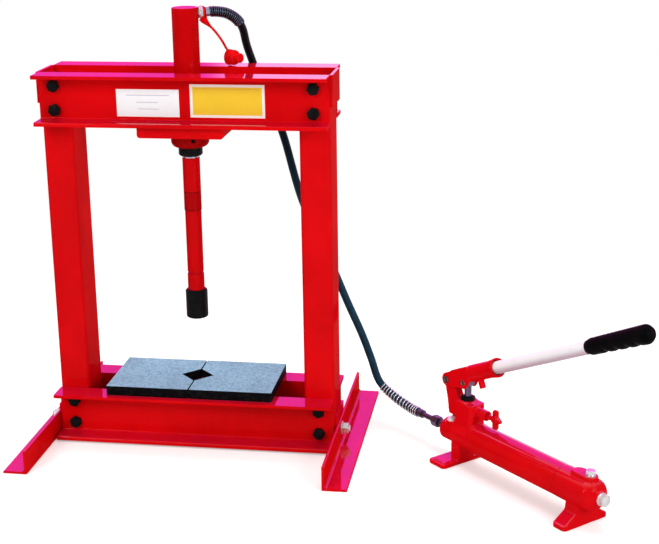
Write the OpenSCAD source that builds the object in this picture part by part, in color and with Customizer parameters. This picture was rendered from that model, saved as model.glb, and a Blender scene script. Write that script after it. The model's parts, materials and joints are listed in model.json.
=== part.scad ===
// Bench shop press: an H-frame of channel beams on two tube posts, a hanging
// hydraulic ram with screwed extensions, and a separate hand pump on a hose.
// Millimetres. +Z is up. The origin is on the floor below the ram's axis,
// with +X to the press's right and the press's front towards -Y.

/* [Frame] */
// Length of the channel beams, over both posts
frame_w = 580; // [480:10:760]
// Height of the head beam's top above the floor
frame_h = 768; // [640:4:1000]
// Length of each foot, front to back
foot_length = 510; // [420:10:640]
// Height of the beams' and posts' underside above the floor
frame_lift = 4; // [2:1:8]

/* [Posts] */
// Width of a post, left to right
post_w = 62; // [50:1:80]
// Depth of a post, front to back
post_d = 90; // [76:1:110]
// Wall of a post
post_wall = 4.5; // [3:0.5:8]
// Outer corner radius of a post
post_corner = 9; // [6:0.5:14]
// How far the posts' tops lie below the head beam's top
post_drop = 12; // [0:1:14]

/* [Channels] */
// Height of a channel
channel_h = 100; // [90:1:130]
// Flange width of a channel
channel_b = 48; // [40:1:60]
// Web thickness of a channel
channel_web = 5.5; // [4:0.5:8]
// Flange thickness of a channel
channel_flange = 8; // [6:0.5:11]
// Radius in the root of a channel
channel_root = 4; // [2:0.5:8]
// Radius on the inner edge of a flange tip
channel_toe = 4; // [2:0.5:5]

/* [End plates and feet] */
// Thickness of an end plate
end_plate_t = 6; // [4:0.5:10]
// Height of an end plate
end_plate_h = 62; // [54:1:80]
// Leg of the foot angle, upright and flat
angle_leg = 49; // [44:1:70]
// Thickness of the foot angle
angle_t = 5; // [4:0.5:8]
// Root radius of the foot angle
angle_root = 6; // [3:0.5:8]

/* [Frame fasteners] */
// Thread size of the beam bolts
beam_bolt_d = 14; // [12:1:18]
// Width across flats of the beam bolts' heads
beam_bolt_af = 22; // [19:1:27]
// Height of the beam bolts' heads
beam_bolt_head = 9; // [7:0.5:12]
// Distance from a beam's mid height to each of its two bolts
beam_bolt_rise = 24; // [20:1:28]
// Thread size of the foot bolts
foot_bolt_d = 14; // [10:1:16]
// Width across flats of the foot bolts
foot_bolt_af = 22; // [17:1:24]
// Height of the foot bolts above the floor
foot_bolt_z = 32; // [26:1:36]
// Distance of the foot bolts forward of the posts' middle
foot_bolt_forward = 22; // [0:1:26]

/* [Arbor plates] */
// Width of the pair of plates
arbor_w = 346; // [300:2:420]
// Depth of the plates
arbor_d = 170; // [150:2:190]
// Thickness of the plates
arbor_t = 20; // [15:1:28]
// Half the width of the diamond between the plates
diamond_x = 34; // [20:1:40]
// Half the depth of the diamond between the plates
diamond_y = 33; // [20:1:44]
// Gap between the two plates
arbor_gap = 3; // [0.4:0.2:4]
// How far left of the ram's axis the plates lie
arbor_left = 7; // [0:1:14]
// How far behind the ram's axis the plates lie
arbor_back = 7; // [0:1:12]

/* [Ram] */
// Outer diameter of the ram's barrel
barrel_d = 52; // [48:1:60]
// Bore of the ram's barrel
barrel_bore = 42; // [38:1:44]
// Height of the ram's top above the head beam
ram_proud = 122; // [100:2:150]
// Thickness of the barrel's closed end
crown_t = 22; // [20:1:30]
// Stroke of the ram
stroke = 125; // [100:5:125]
// Diameter of the chromed plunger
plunger_d = 32; // [26:1:34]
// Diameter of the black gland
gland_d = 48; // [44:1:50]
// Length of the gland that shows
gland_show = 18; // [14:1:26]
// Length of bare plunger that shows at rest
plunger_show = 4; // [2:1:10]
// Diameter of the mounting ring
ring_d = 76; // [70:1:90]
// Height of the mounting ring
ring_h = 31; // [26:1:40]
// Width of the mounting plate
mount_w = 172; // [140:2:200]
// Depth of the mounting plate
mount_d = 160; // [136:2:180]
// Thickness of the mounting plate
mount_t = 22; // [16:1:26]

/* [Extensions and head] */
// Diameter of the upper extension
upper_d = 35; // [32:0.5:40]
// Length of the upper extension
upper_l = 108; // [80:2:120]
// Diameter of the lower extension
lower_d = 33; // [30:0.5:36]
// Length of the lower extension
lower_l = 134; // [100:2:150]
// Diameter of the adapter
adapter_d = 34; // [30:0.5:38]
// Length of the adapter
adapter_l = 34; // [28:1:40]
// Diameter of the press head
head_d = 45; // [38:1:56]
// Length of the press head
head_l = 60; // [40:2:66]
// Diameter of the screwed spigots
spigot_d = 20; // [16:1:22]
// Length of the screwed spigots
spigot_l = 22; // [16:1:24]

/* [Hose] */
// Outer diameter of the hose
hose_d = 16; // [12:0.5:17]
// Outer diameter of the spring guards
guard_d = 22; // [21:0.5:23]
// Wire diameter of the spring guards
guard_wire = 2.4; // [1.5:0.1:2.6]

/* [Hand pump] */
// Diameter of the reservoir
reservoir_d = 62; // [54:1:66]
// Wall of the reservoir
reservoir_wall = 2.5; // [2:0.5:4]
// Height of the reservoir's axis above the floor
reservoir_z = 64; // [58:1:72]
// Length of the reservoir tube
reservoir_l = 232; // [200:2:300]
// Width of the front foot
front_foot_w = 120; // [96:2:140]
// Width of the rear foot
rear_foot_w = 110; // [90:2:130]
// Thickness of the pump's feet
pump_foot_t = 9; // [6:0.5:12]
// Diameter of the pump's plunger
pump_plunger_d = 14; // [12:1:16]

/* [Pump lever] */
// Distance from the fulcrum pin to the plunger's axis
lever_arm = 50; // [46:1:56]
// Rest angle of the lever above level
lever_rest = 25; // [20:1:28]
// Length of the lever, fulcrum to tip
lever_l = 563; // [480:1:640]
// Diameter of the lever rod
rod_d = 25; // [20:1:26]
// Diameter of the grip
grip_d = 36; // [34:1:40]
// How much less the grip's radius is at the rod's end
grip_taper = 2.5; // [0:0.5:3]
// Length of the grip
grip_l = 154; // [140:2:190]
// Diameter of the fulcrum pin
fulcrum_d = 12; // [10:1:14]
// Diameter of the plunger pin
plunger_pin_d = 10; // [8:1:11]

/* [Hidden] */

$fn = 64;
eps = 0.01;          // overlap that makes a cut clean
running = 0.05;      // radial clearance of a pin or rod that turns or slides
seat = 0.3;          // clearance of a piece that is screwed or laid in place
bolt_clear = 0.6;    // radial clearance of a bolt in its hole

red = [0.82, 0.02, 0.03];
black = [0.06, 0.06, 0.07];
steel = [0.75, 0.76, 0.78];
slate = [0.5, 0.58, 0.64];

// Frame places
post_x = frame_w / 2 - post_w / 2;
head_base = frame_h - channel_h;
bed_top = frame_lift + channel_h;
web_front = post_d / 2 + channel_web;
bolt_zs = [frame_h - channel_h / 2 + beam_bolt_rise, frame_h - channel_h / 2 - beam_bolt_rise,
    frame_lift + channel_h / 2 + beam_bolt_rise, frame_lift + channel_h / 2 - beam_bolt_rise];
beam_washer_t = 3;
beam_nut_h = 11;
bolt_proud = 4;
foot_x = frame_w / 2 + end_plate_t;
foot_washer_t = 2.5;
foot_nut_h = 12;
label_t = 0.5;

// Ram places
ram_top = frame_h + ram_proud;
mount_base = head_base - mount_t;
ring_base = mount_base - ring_h;
gland_base = ring_base - gland_show;
rod_end = gland_base - plunger_show;
chamber_top = ram_top - crown_t;
piston_h = 38;
piston_top = chamber_top - 4;
piston_base = piston_top - piston_h;
guide_top = piston_base - stroke - 1;
spring_pocket = 12;
upper_base = rod_end - upper_l;
lower_base = upper_base - lower_l;
adapter_base = lower_base - adapter_l;
press_base = adapter_base - head_l;
neck_h = 4;

// Coupler on the ram, along its own level direction
port_turn = 24;
port_z = ram_top - 11;
port_dir = [cos(port_turn), sin(port_turn), 0];
coupler_r = barrel_d / 2 + seat;
coupler_d = 23;
coupler_face = 34;
neck_face = 38;
collar_face = 40;
ferrule_face = 48;

// Hand pump: its own axis runs from the head towards the rear cap
pump_at = [frame_w / 2 + 273, -91];
pump_turn = -46;
pump_dir = [cos(pump_turn), sin(pump_turn), 0];
head_front = -25;
head_rear = 33;
head_half = 20;
body_d = 58;
block_front = -18;
block_half = 20;
block_round = 8;
head_top = 134;
plunger_s = 2;
fulcrum_s = plunger_s - lever_arm;
fulcrum_z = 166;
pin_rise = 8;
plunger_pin_z = fulcrum_z + pin_rise;
port_axis_z = 58;
port_boss_d = 46;
port_face = -58;
port_bore_d = 13;
disc_t = 8;
tube_start = head_rear + disc_t;
tube_end = tube_start + reservoir_l;
cap_d = reservoir_d + 1;
cap_round = 24;
cap_end = tube_end + 93;
valve_z = 120;
valve_bore_d = 10;
valve_boss_end = 62;
lug_half = 9;
cheek_t = 5;
cheek_in = lug_half + seat;
cheek_out = cheek_in + cheek_t;
pin_head_t = 2.5;
socket_start = 65;
socket_end = 150;
socket_d = 34;
eye_half = 8;
slot_clear = 0.7;
slot_throw = 4.6;
gland_nut_h = 6.5;
nut_from = -84;
nut_to = -102;
hose_end_s = -150;

// Route of the hose: out of the ram's ferrule, over the rear beam, down
// behind the right post, and along the floor to the pump
hose_start = [0, 0, port_z] + ferrule_face * port_dir;
hose_finish = [pump_at[0], pump_at[1], port_axis_z] + hose_end_s * pump_dir;
lead = 26;
route = concat(
    [hose_start - 10 * port_dir, hose_start, hose_start + 10 * port_dir],
    [for (p = [[73, 35, -4], [90, 50, -17], [99, 67, -38], [102, 88, -74]])
        [p[0], p[1], port_z + p[2]]],
    [for (p = [[110, 105, -1], [125, 113, -50], [163, 123, -145]])
        [p[0], p[1], frame_h + p[2]]],
    [for (p = [[-87, 117, 481], [-36, 115, 365], [7, 110, 263], [37, 107, 195],
        [57, 104, 142], [76, 93, 94], [109, 74, 69]])
        [frame_w / 2 + p[0], p[1], p[2]]],
    [hose_finish - lead * pump_dir, hose_finish,
     hose_finish + lead * pump_dir]);
hose_segments = len(route) - 3;
hose_sides = 12;
steps = 4;
guard_ram_end = 3.5;     // route parameter at which the ram's guard ends
guard_pump_start = 14.3; // route parameter at which the pump's guard starts

// Strap of the dust cap, from the ring round the coupler to the cap
strap = [for (p = [[28, 11, -3], [33, 15, -14.5], [41, 22, -26], [49, 30, -38],
    [58, 39, -53], [64, 48, -65], [68, 55, -76], [73, 61, -85], [79, 62, -89]])
        [p[0], p[1], port_z + p[2]]];

function point(p, i, t) = let (a = p[i - 1], b = p[i], c = p[i + 1], d = p[i + 2])
    0.5 * ((2 * b) + (c - a) * t + (2 * a - 5 * b + 4 * c - d) * t * t
        + (3 * b - a - 3 * c + d) * t * t * t);
function along(p, s) = let (i = min(floor(s), len(p) - 4)) point(p, i + 1, s - i);
function unit(v) = v / norm(v);
function slope(p, i, t) = let (a = p[i - 1], b = p[i], c = p[i + 1], d = p[i + 2])
    (c - a) + 2 * (2 * a - 5 * b + 4 * c - d) * t + 3 * (3 * b - a - 3 * c + d) * t * t;
function heading(p, s) = let (i = min(floor(s), len(p) - 4)) unit(slope(p, i + 1, s - i));
function side(h) = unit(cross(h, [0, 1, 0]));
function ring_points(p, s, r, n) = let (c = along(p, s), h = heading(p, s), u = side(h),
    v = cross(h, u)) [for (k = [0:n - 1]) c + r * (cos(360 * k / n) * u + sin(360 * k / n) * v)];

// Solid round cord along a route, from parameter s0 to s1
module swept(p, s0, s1, rings, r, n) {
    pts = [for (j = [0:rings]) each ring_points(p, s0 + (s1 - s0) * j / rings, r, n)];
    faces = concat(
        [[for (k = [0:n - 1]) k]],
        [for (j = [0:rings - 1], k = [0:n - 1]) let (m = (k + 1) % n)
            each [[j * n + k, (j + 1) * n + k, (j + 1) * n + m],
                [j * n + k, (j + 1) * n + m, j * n + m]]],
        [[for (k = [n - 1:-1:0]) rings * n + k]]);
    polyhedron(pts, faces, convexity = 6);
}

// Flat band along a route, narrowing from half-width w0 to w1, t thick
module band(p, rings, w0, w1, t) {
    last = len(p) - 3;
    pts = [for (j = [0:rings]) let (s = last * j / rings, c = along(p, s),
        h = heading(p, s), u = side(h), v = cross(h, u), w = w0 + (w1 - w0) * j / rings)
        each [c + w * u + t * v, c - w * u + t * v, c - w * u - t * v, c + w * u - t * v]];
    faces = concat(
        [[0, 1, 2, 3]],
        [for (j = [0:rings - 1], k = [0:3]) let (m = (k + 1) % 4)
            each [[j * 4 + k, (j + 1) * 4 + k, (j + 1) * 4 + m],
                [j * 4 + k, (j + 1) * 4 + m, j * 4 + m]]],
        [[for (k = [3:-1:0]) rings * 4 + k]]);
    polyhedron(pts, faces, convexity = 6);
}

// Open tube along a route: an outer and an inner skin joined at both ends
module swept_tube(p, s0, s1, rings, r_out, r_in, n) {
    outer = [for (j = [0:rings]) each ring_points(p, s0 + (s1 - s0) * j / rings, r_out, n)];
    inner = [for (j = [0:rings]) each ring_points(p, s0 + (s1 - s0) * j / rings, r_in, n)];
    q = (rings + 1) * n;
    faces = [for (k = [0:n - 1]) let (m = (k + 1) % n) each concat(
        [for (j = [0:rings - 1]) each [
            [j * n + k, (j + 1) * n + k, (j + 1) * n + m],
            [j * n + k, (j + 1) * n + m, j * n + m],
            [q + j * n + k, q + (j + 1) * n + m, q + (j + 1) * n + k],
            [q + j * n + k, q + j * n + m, q + (j + 1) * n + m]]],
        [[k, m, q + m], [k, q + m, q + k],
         [rings * n + k, q + rings * n + m, rings * n + m],
         [rings * n + k, q + rings * n + k, q + rings * n + m]])];
    polyhedron(concat(outer, inner), faces, convexity = 6);
}

module along_x(from, to, r) translate([from, 0, 0]) rotate([0, 90, 0])
    cylinder(h = to - from, r = r);
module along_y(from, to, r) translate([0, from, 0]) rotate([-90, 0, 0])
    cylinder(h = to - from, r = r);
module hex_x(from, to, af) translate([from, 0, 0]) rotate([0, 90, 0])
    cylinder(h = to - from, r = af / sqrt(3), $fn = 6);
module hex_y(from, to, af) translate([0, from, 0]) rotate([-90, 0, 0])
    cylinder(h = to - from, r = af / sqrt(3), $fn = 6);
module hex_z(from, to, af) translate([0, 0, from])
    cylinder(h = to - from, r = af / sqrt(3), $fn = 6);

// Rectangle with round corners, centred
module rounded(w, d, r) {
    square([w - 2 * r, d], center = true);
    square([w, d - 2 * r], center = true);
    for (x = [-1, 1], y = [-1, 1])
        translate([x * (w / 2 - r), y * (d / 2 - r)]) circle(r);
}

// Concave corner fill of radius r, in the first quadrant
module root_fill(r) difference() {
    square(r);
    translate([r, r]) circle(r);
}

// Corner scrap that rounds an outer edge: the corner is at (r, r)
module edge_scrap(r) difference() {
    square(r + eps);
    circle(r);
}

module in_pump() translate([pump_at[0], pump_at[1], 0]) rotate([0, 0, pump_turn]) children();
module in_lever() in_pump() translate([fulcrum_s, 0, fulcrum_z])
    rotate([0, -lever_rest, 0]) children();
module in_port() translate([0, 0, port_z]) rotate([0, 0, port_turn]) children();

// ---- Frame ----

module channel_profile() difference() {
    union() {
        square([channel_web, channel_h]);
        square([channel_b, channel_flange]);
        translate([0, channel_h - channel_flange]) square([channel_b, channel_flange]);
        translate([channel_web - eps, channel_flange - eps]) root_fill(channel_root);
        translate([channel_web - eps, channel_h - channel_flange + eps]) mirror([0, 1])
            root_fill(channel_root);
    }
    translate([channel_b - channel_toe, channel_flange - channel_toe]) edge_scrap(channel_toe);
    translate([channel_b - channel_toe, channel_h - channel_flange + channel_toe])
        mirror([0, 1]) edge_scrap(channel_toe);
}

// A beam channel with its web against the posts and its flanges outwards
module channel(base, facing) color(red) difference() {
    mirror([0, facing < 0 ? 1 : 0, 0]) translate([-frame_w / 2, post_d / 2, base])
        rotate([90, 0, 90]) linear_extrude(frame_w) channel_profile();
    for (x = [-post_x, post_x], r = [-beam_bolt_rise, beam_bolt_rise])
        translate([x, 0, base + channel_h / 2 + r])
            along_y(-post_d, post_d, beam_bolt_d / 2 + bolt_clear);
}

module post(side) color(red) difference() {
    translate([side * post_x, 0, frame_lift])
        linear_extrude(frame_h - post_drop - frame_lift) difference() {
            rounded(post_w, post_d, post_corner);
            rounded(post_w - 2 * post_wall, post_d - 2 * post_wall, post_corner - post_wall);
        }
    for (z = bolt_zs) translate([side * post_x, 0, z])
        along_y(-post_d, post_d, beam_bolt_d / 2 + bolt_clear);
    translate([side * frame_w / 2, -foot_bolt_forward, foot_bolt_z])
        along_x(-post_corner, post_corner, foot_bolt_d / 2 + bolt_clear);
}

module end_plate(side, base) color(red) difference() {
    translate([side * (frame_w / 2 + end_plate_t / 2), 0, base + end_plate_h / 2])
        cube([end_plate_t, post_d, end_plate_h], center = true);
    translate([side * frame_w / 2, -foot_bolt_forward, foot_bolt_z])
        along_x(-end_plate_t * 2, end_plate_t * 2, foot_bolt_d / 2 + bolt_clear);
}

module angle_profile() difference() {
    union() {
        square([angle_t, angle_leg]);
        square([angle_leg, angle_t]);
        translate([angle_t - eps, angle_t - eps]) root_fill(angle_root);
    }
    translate([angle_leg - angle_t / 2, angle_t / 2]) edge_scrap(angle_t / 2);
    translate([angle_t / 2, angle_leg - angle_t / 2]) edge_scrap(angle_t / 2);
}

// Foot: an angle with its upright leg against the end plate, flat leg outwards
module foot(side) color(red) mirror([side < 0 ? 1 : 0, 0, 0]) difference() {
    translate([foot_x, foot_length / 2, 0]) rotate([90, 0, 0])
        linear_extrude(foot_length) angle_profile();
    translate([foot_x, -foot_bolt_forward, foot_bolt_z])
        along_x(-angle_t, angle_t * 2, foot_bolt_d / 2 + bolt_clear);
}

module at_beam_bolts() for (x = [-post_x, post_x], z = bolt_zs) translate([x, 0, z]) children();
module beam_bolts() color(black) at_beam_bolts() union() {
    hex_y(-web_front - beam_bolt_head, -web_front, beam_bolt_af);
    along_y(-web_front - eps, web_front + beam_washer_t + beam_nut_h + bolt_proud,
        beam_bolt_d / 2);
}
module beam_washers() color(black) at_beam_bolts() difference() {
    along_y(web_front, web_front + beam_washer_t, beam_bolt_d * 0.885);
    along_y(web_front - 1, web_front + beam_washer_t + 1, beam_bolt_d / 2 + seat);
}
module beam_nuts() color(black) at_beam_bolts() difference() {
    hex_y(web_front + beam_washer_t, web_front + beam_washer_t + beam_nut_h, beam_bolt_af);
    along_y(web_front, web_front + beam_washer_t + beam_nut_h + 1,
        beam_bolt_d / 2 + running);
}

module at_foot_bolts() for (side = [0, 1]) mirror([side, 0, 0])
    translate([0, -foot_bolt_forward, foot_bolt_z]) children();
foot_bolt_head = 9;
foot_bolt_seat = frame_w / 2 - post_wall;
foot_face = foot_x + angle_t;
foot_nut_at = foot_face + foot_washer_t;
module foot_bolts() color(steel) at_foot_bolts() union() {
    hex_x(foot_bolt_seat - foot_bolt_head, foot_bolt_seat, foot_bolt_af);
    along_x(foot_bolt_seat - eps, foot_nut_at + foot_nut_h + bolt_proud, foot_bolt_d / 2);
}
module foot_washers() color(steel) at_foot_bolts() difference() {
    along_x(foot_face, foot_nut_at, foot_bolt_d);
    along_x(foot_face - 1, foot_nut_at + 1, foot_bolt_d / 2 + seat);
}
module foot_nuts() color(steel) at_foot_bolts() difference() {
    hex_x(foot_nut_at, foot_nut_at + foot_nut_h, foot_bolt_af);
    along_x(foot_nut_at - 1, foot_nut_at + foot_nut_h + 1, foot_bolt_d / 2 + running);
}

module label(x0, x1, z0, z1) translate([x0, -web_front - label_t, z0])
    cube([x1 - x0, label_t, z1 - z0]);
module white_label() color("white") label(-132, -6, head_base + 15, head_base + 69);
module yellow_label() color("gold") label(16, 164, head_base + 15, head_base + 80);

// One arbor plate: a slab with half of the diamond cut from its inner edge
module arbor_plate(side) color(slate) translate([-arbor_left, arbor_back, bed_top])
    mirror([side < 0 ? 1 : 0, 0, 0]) linear_extrude(arbor_t) polygon([
        [arbor_gap / 2, -arbor_d / 2], [arbor_w / 2, -arbor_d / 2],
        [arbor_w / 2, arbor_d / 2], [arbor_gap / 2, arbor_d / 2],
        [arbor_gap / 2, diamond_y], [diamond_x, 0], [arbor_gap / 2, -diamond_y]]);

// ---- Ram ----

module ram_mount_plate() color(red) difference() {
    translate([0, mount_d / 2, mount_base]) rotate([90, 0, 0]) linear_extrude(mount_d)
        difference() {
            translate([-mount_w / 2, 0]) square([mount_w, mount_t]);
            for (x = [0, 1]) mirror([x, 0]) translate([mount_w / 2 - 6, 6])
                mirror([0, 1]) edge_scrap(6);
        }
    translate([0, 0, mount_base - 1]) cylinder(h = mount_t + 2, r = barrel_d / 2 + seat);
}

screw_z = ring_base + 17;
screw_turn = -67;
screw_d = 8;
module ram_ring() color(red) difference() {
    translate([0, 0, ring_base]) rotate_extrude() difference() {
        union() {
            translate([barrel_d / 2 + seat, 12])
                square([(ring_d - barrel_d) / 2 - seat, ring_h - 12]);
            intersection() {
                translate([ring_d / 2 - 12, 12]) circle(12);
                square([ring_d, 12 + eps]);
            }
            translate([barrel_d / 2 + seat, 0])
                square([ring_d / 2 - 12 - barrel_d / 2 - seat + eps, 12 + eps]);
        }
        translate([0, -1]) square([barrel_d / 2 + seat, ring_h + 2]);
    }
    translate([0, 0, screw_z]) rotate([0, 0, screw_turn])
        along_x(barrel_d / 2 - 4, ring_d / 2 + 1, screw_d / 2 + running);
}
module ring_set_screw() color(black) translate([0, 0, screw_z]) rotate([0, 0, screw_turn])
    difference() {
        along_x(barrel_d / 2 + 0.2, ring_d / 2 - 1.5, screw_d / 2);
        hex_x(ring_d / 2 - 6, ring_d / 2, 4);
    }

module ram_barrel() color(red) difference() {
    rotate_extrude() difference() {
        translate([0, ring_base]) square([barrel_d / 2, ram_top - ring_base]);
        translate([barrel_d / 2 - 2, ram_top - 2]) edge_scrap(2);
        translate([-eps, ring_base - 1]) square([barrel_bore / 2, chamber_top - ring_base + 1]);
    }
    in_port() along_x(4, barrel_d, 7 + running);
    translate([0, 0, chamber_top - 1]) cylinder(h = port_z - chamber_top + 1, r = 2.5);
    in_port() along_x(-4, barrel_d / 2, 3);
}

module ram_gland() color(black) rotate_extrude() difference() {
    union() {
        translate([plunger_d / 2 + running, gland_base])
            square([(gland_d - plunger_d) / 2 - running, gland_show]);
        translate([plunger_d / 2 + running, ring_base - eps])
            square([(barrel_bore - plunger_d) / 2 - 2 * running, guide_top - ring_base]);
    }
    translate([gland_d / 2 - 3, gland_base - eps]) polygon([[0, 0], [4, 0], [4, 4]]);
}

module ram_plunger() color(steel) rotate_extrude() difference() {
    union() {
        translate([0, rod_end]) square([plunger_d / 2, piston_top - rod_end]);
        translate([0, piston_base])
            square([barrel_bore / 2 - running, piston_h]);
        translate([0, rod_end - spigot_l]) square([spigot_d / 2, spigot_l + eps]);
    }
    translate([barrel_bore / 2 - 4, piston_base + piston_h / 2 - 3]) square([5, 6]);
    translate([-1, rod_end + 12]) square([spring_pocket / 2 + 4 + 1, frame_h]);
    translate([spigot_d / 2 - 1, rod_end - spigot_l - eps]) polygon([[0, 0], [2, 0], [2, 2]]);
}
module piston_seal() color(black) rotate_extrude()
    translate([barrel_bore / 2 - 4, piston_base + piston_h / 2 - 3]) difference() {
        square([4 - running / 2, 6]);
        translate([4 - running / 2, 3]) circle(1);
    }

// Close-wound extension spring that draws the plunger back up
spring_r = spring_pocket / 2 + 3;
spring_base = rod_end + 12;
spring_turns = 24;
module return_spring() color(steel) rotate_extrude() union() {
    pitch = (chamber_top - spring_base) / spring_turns;
    translate([spring_r - 3.4, spring_base]) square([2.4, chamber_top - spring_base]);
    for (k = [0:spring_turns - 1])
        translate([spring_r - 1.2, spring_base + (k + 0.5) * pitch]) intersection() {
            circle(pitch / 2);
            square([3, pitch], center = true);
        }
}

// Extension piece: a bar from z0 to z1 with a socket above and a spigot below
module extension(z0, z1, d, neck_d) rotate_extrude() difference() {
    union() {
        translate([0, z0 + (neck_d > 0 ? neck_h : 0)])
            square([d / 2, z1 - z0 - (neck_d > 0 ? neck_h : 0)]);
        if (neck_d > 0) translate([0, z0]) square([neck_d / 2, neck_h + eps]);
        translate([0, z0 - spigot_l]) square([spigot_d / 2, spigot_l + eps]);
    }
    translate([-1, z1 - spigot_l - 1]) square([1 + spigot_d / 2 + seat, spigot_l + 2]);
    translate([spigot_d / 2 - 1, z0 - spigot_l - eps]) polygon([[0, 0], [2, 0], [2, 2]]);
    translate([d / 2 - 1, z1 - 1]) edge_scrap(1);
}
module upper_extension() color(red) extension(upper_base, rod_end, upper_d, 0);
module lower_extension() color(red) extension(lower_base, upper_base, lower_d, lower_d - 4);
module extension_adapter() color(red) extension(adapter_base, lower_base, adapter_d, 0);
module press_head() color(black) rotate_extrude() difference() {
    translate([0, press_base]) square([head_d / 2, head_l]);
    translate([head_d / 2 - 4, press_base + 4]) mirror([0, 1]) edge_scrap(4);
    translate([head_d / 2 - 3, adapter_base + eps]) polygon([[0, 0], [4, 0], [4, -4]]);
    translate([-1, adapter_base - spigot_l - 1]) square([1 + spigot_d / 2 + seat, spigot_l + 2]);
}

// ---- Coupler, dust cap and hose ----

module ram_coupler() color(steel) in_port() difference() {
    union() {
        along_x(14, coupler_r + 1, 7);
        along_x(coupler_r, coupler_face - 5, coupler_d / 2);
        hex_x(coupler_face - 5 - eps, coupler_face, coupler_d - 1);
        along_x(coupler_face - eps, neck_face, 8);
    }
    along_x(0, neck_face + 1, 3);
}
module coupler_collar() color(black) in_port() difference() {
    along_x(neck_face, collar_face, 10);
    along_x(neck_face - 1, collar_face + 1, 3);
}

cap_r = 16;
cap_at = [79, 58, frame_h + cap_r + 0.3];
cap_turn = -28;
module dust_cap() color(red) union() {
    in_port() difference() {
        union() {
            along_x(coupler_face + 0.3, neck_face - 0.3, 12);
            translate([coupler_face + 0.3, -3, -16]) cube([neck_face - coupler_face - 0.6, 6, 7]);
        }
        along_x(coupler_face - 1, neck_face + 1, 8 + 0.3);
    }
    band(strap, 20, 5.2, 2.2, 1.3);
    translate(cap_at) rotate([0, 0, cap_turn]) difference() {
        union() {
            along_x(-10, 10, cap_r);
            along_x(10 - eps, 23, cap_r - 6);
        }
        along_x(-11, 4, cap_r - 3.5);
    }
}

module hose_ferrule_ram() color(steel) in_port() difference() {
    along_x(collar_face, ferrule_face, 9);
    along_x(collar_face - 1, ferrule_face - 3, 3);
}
module hose_guard_ram() color(black)
    swept_tube(route, 0.04, guard_ram_end, 14, guard_d / 2, hose_d / 2 + 0.3, hose_sides);
module hose() color(black)
    swept(route, 0, hose_segments, hose_segments * steps, hose_d / 2, hose_sides);
module hose_guard_pump() color(black)
    swept_tube(route, guard_pump_start, hose_segments - 0.02, 14, guard_d / 2,
        hose_d / 2 + 0.3, hose_sides);
module on_port_axis() in_pump() translate([0, 0, port_axis_z]) children();
module hose_ferrule_pump() color(steel) on_port_axis() difference() {
    union() {
        along_x(hose_end_s, nut_to, 5.5);
        along_x(hose_end_s, hose_end_s + 12, 8.5);
    }
    along_x(hose_end_s + 4, nut_to + 1, 3);
}
module hose_nut() color(steel) on_port_axis() difference() {
    along_x(nut_to, nut_from, 12);
    along_x(nut_to - 1, nut_from + 1, 3);
}
module port_nipple() color(steel) on_port_axis() difference() {
    union() {
        along_x(nut_from, port_face + 12, port_bore_d / 2);
        hex_x(port_face - 9, port_face, 19);
    }
    along_x(nut_from - 1, port_face + 13, 3);
}

// ---- Hand pump ----

module pump_foot(w, from, to) translate([(from + to) / 2, 0, 0]) linear_extrude(pump_foot_t)
    rounded(to - from, w, 8);

// The plug's seat is spot-faced beside the lug, so it clears it
plug_at = [-36, -8];
plug_seat = port_axis_z + port_boss_d / 2 + 1;
pedestal_top = 46;
module pump_head() color(red) in_pump() difference() {
    union() {
        pump_foot(front_foot_w, -48, 0);
        translate([head_front, -head_half, pump_foot_t - 3])
            cube([-head_front, 2 * head_half, pedestal_top - pump_foot_t]);
        translate([0, 0, reservoir_z]) along_x(head_front + 3, head_rear, body_d / 2);
        translate([block_front + block_round, -block_half + block_round, reservoir_z])
            linear_extrude(head_top - reservoir_z) offset(block_round)
                square([head_rear - block_front - 2 * block_round,
                    2 * (block_half - block_round)]);
        translate([0, 0, port_axis_z]) along_x(port_face, head_front + eps, port_boss_d / 2);
        translate([0, 0, reservoir_z]) along_x(head_rear - eps, tube_start, cap_d / 2);
        translate([0, 0, reservoir_z]) along_x(tube_start - eps, tube_start + 12,
            reservoir_d / 2 - reservoir_wall - seat);
        translate([plunger_s, 0, head_top - eps]) cylinder(h = 3, r = 19);
        translate([0, 0, valve_z]) along_x(head_rear - eps, valve_boss_end, 10.5);
        difference() {
            translate([0, lug_half, 0]) rotate([90, 0, 0]) linear_extrude(2 * lug_half) union() {
                polygon([[head_front + 4, 70], [-45, 70], [-46, 92], [-51, 124],
                    [-60.5, 162], [-36, 170], [-22, 142], [-16, head_top - 1]]);
                translate([fulcrum_s, fulcrum_z]) circle(13);
            }
            translate([plug_at[0], plug_at[1], plug_seat]) cylinder(h = 12, r = 11.5);
        }
        translate([plug_at[0], plug_at[1], port_axis_z]) cylinder(h = plug_seat - port_axis_z,
            r = 10.5);
    }
    translate([plunger_s, 0, 52]) cylinder(h = 100, r = pump_plunger_d / 2 + running);
    translate([0, 0, port_axis_z]) along_x(port_face - 1, port_face + 14,
        port_bore_d / 2 + running);
    translate([0, 0, port_axis_z]) along_x(port_face, plunger_s, 3);
    translate([0, 0, valve_z]) along_x(18, valve_boss_end + 1, valve_bore_d / 2 + running);
    translate([fulcrum_s, 0, fulcrum_z]) along_y(-20, 20, fulcrum_d / 2 + running);
    translate([0, 0, reservoir_z]) along_x(20, tube_start + 13, 5 + running);
}

module port_plug() color(steel) in_pump()
    translate([plug_at[0], plug_at[1], plug_seat]) union() {
        cylinder(h = 2.5, r = 9.5);
        hex_z(2.5 - eps, 6.5, 14);
    }

module reservoir_tube() color(red) in_pump() translate([0, 0, reservoir_z]) difference() {
    along_x(tube_start, tube_end, reservoir_d / 2);
    along_x(tube_start - 1, tube_end + 1, reservoir_d / 2 - reservoir_wall);
}

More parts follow.
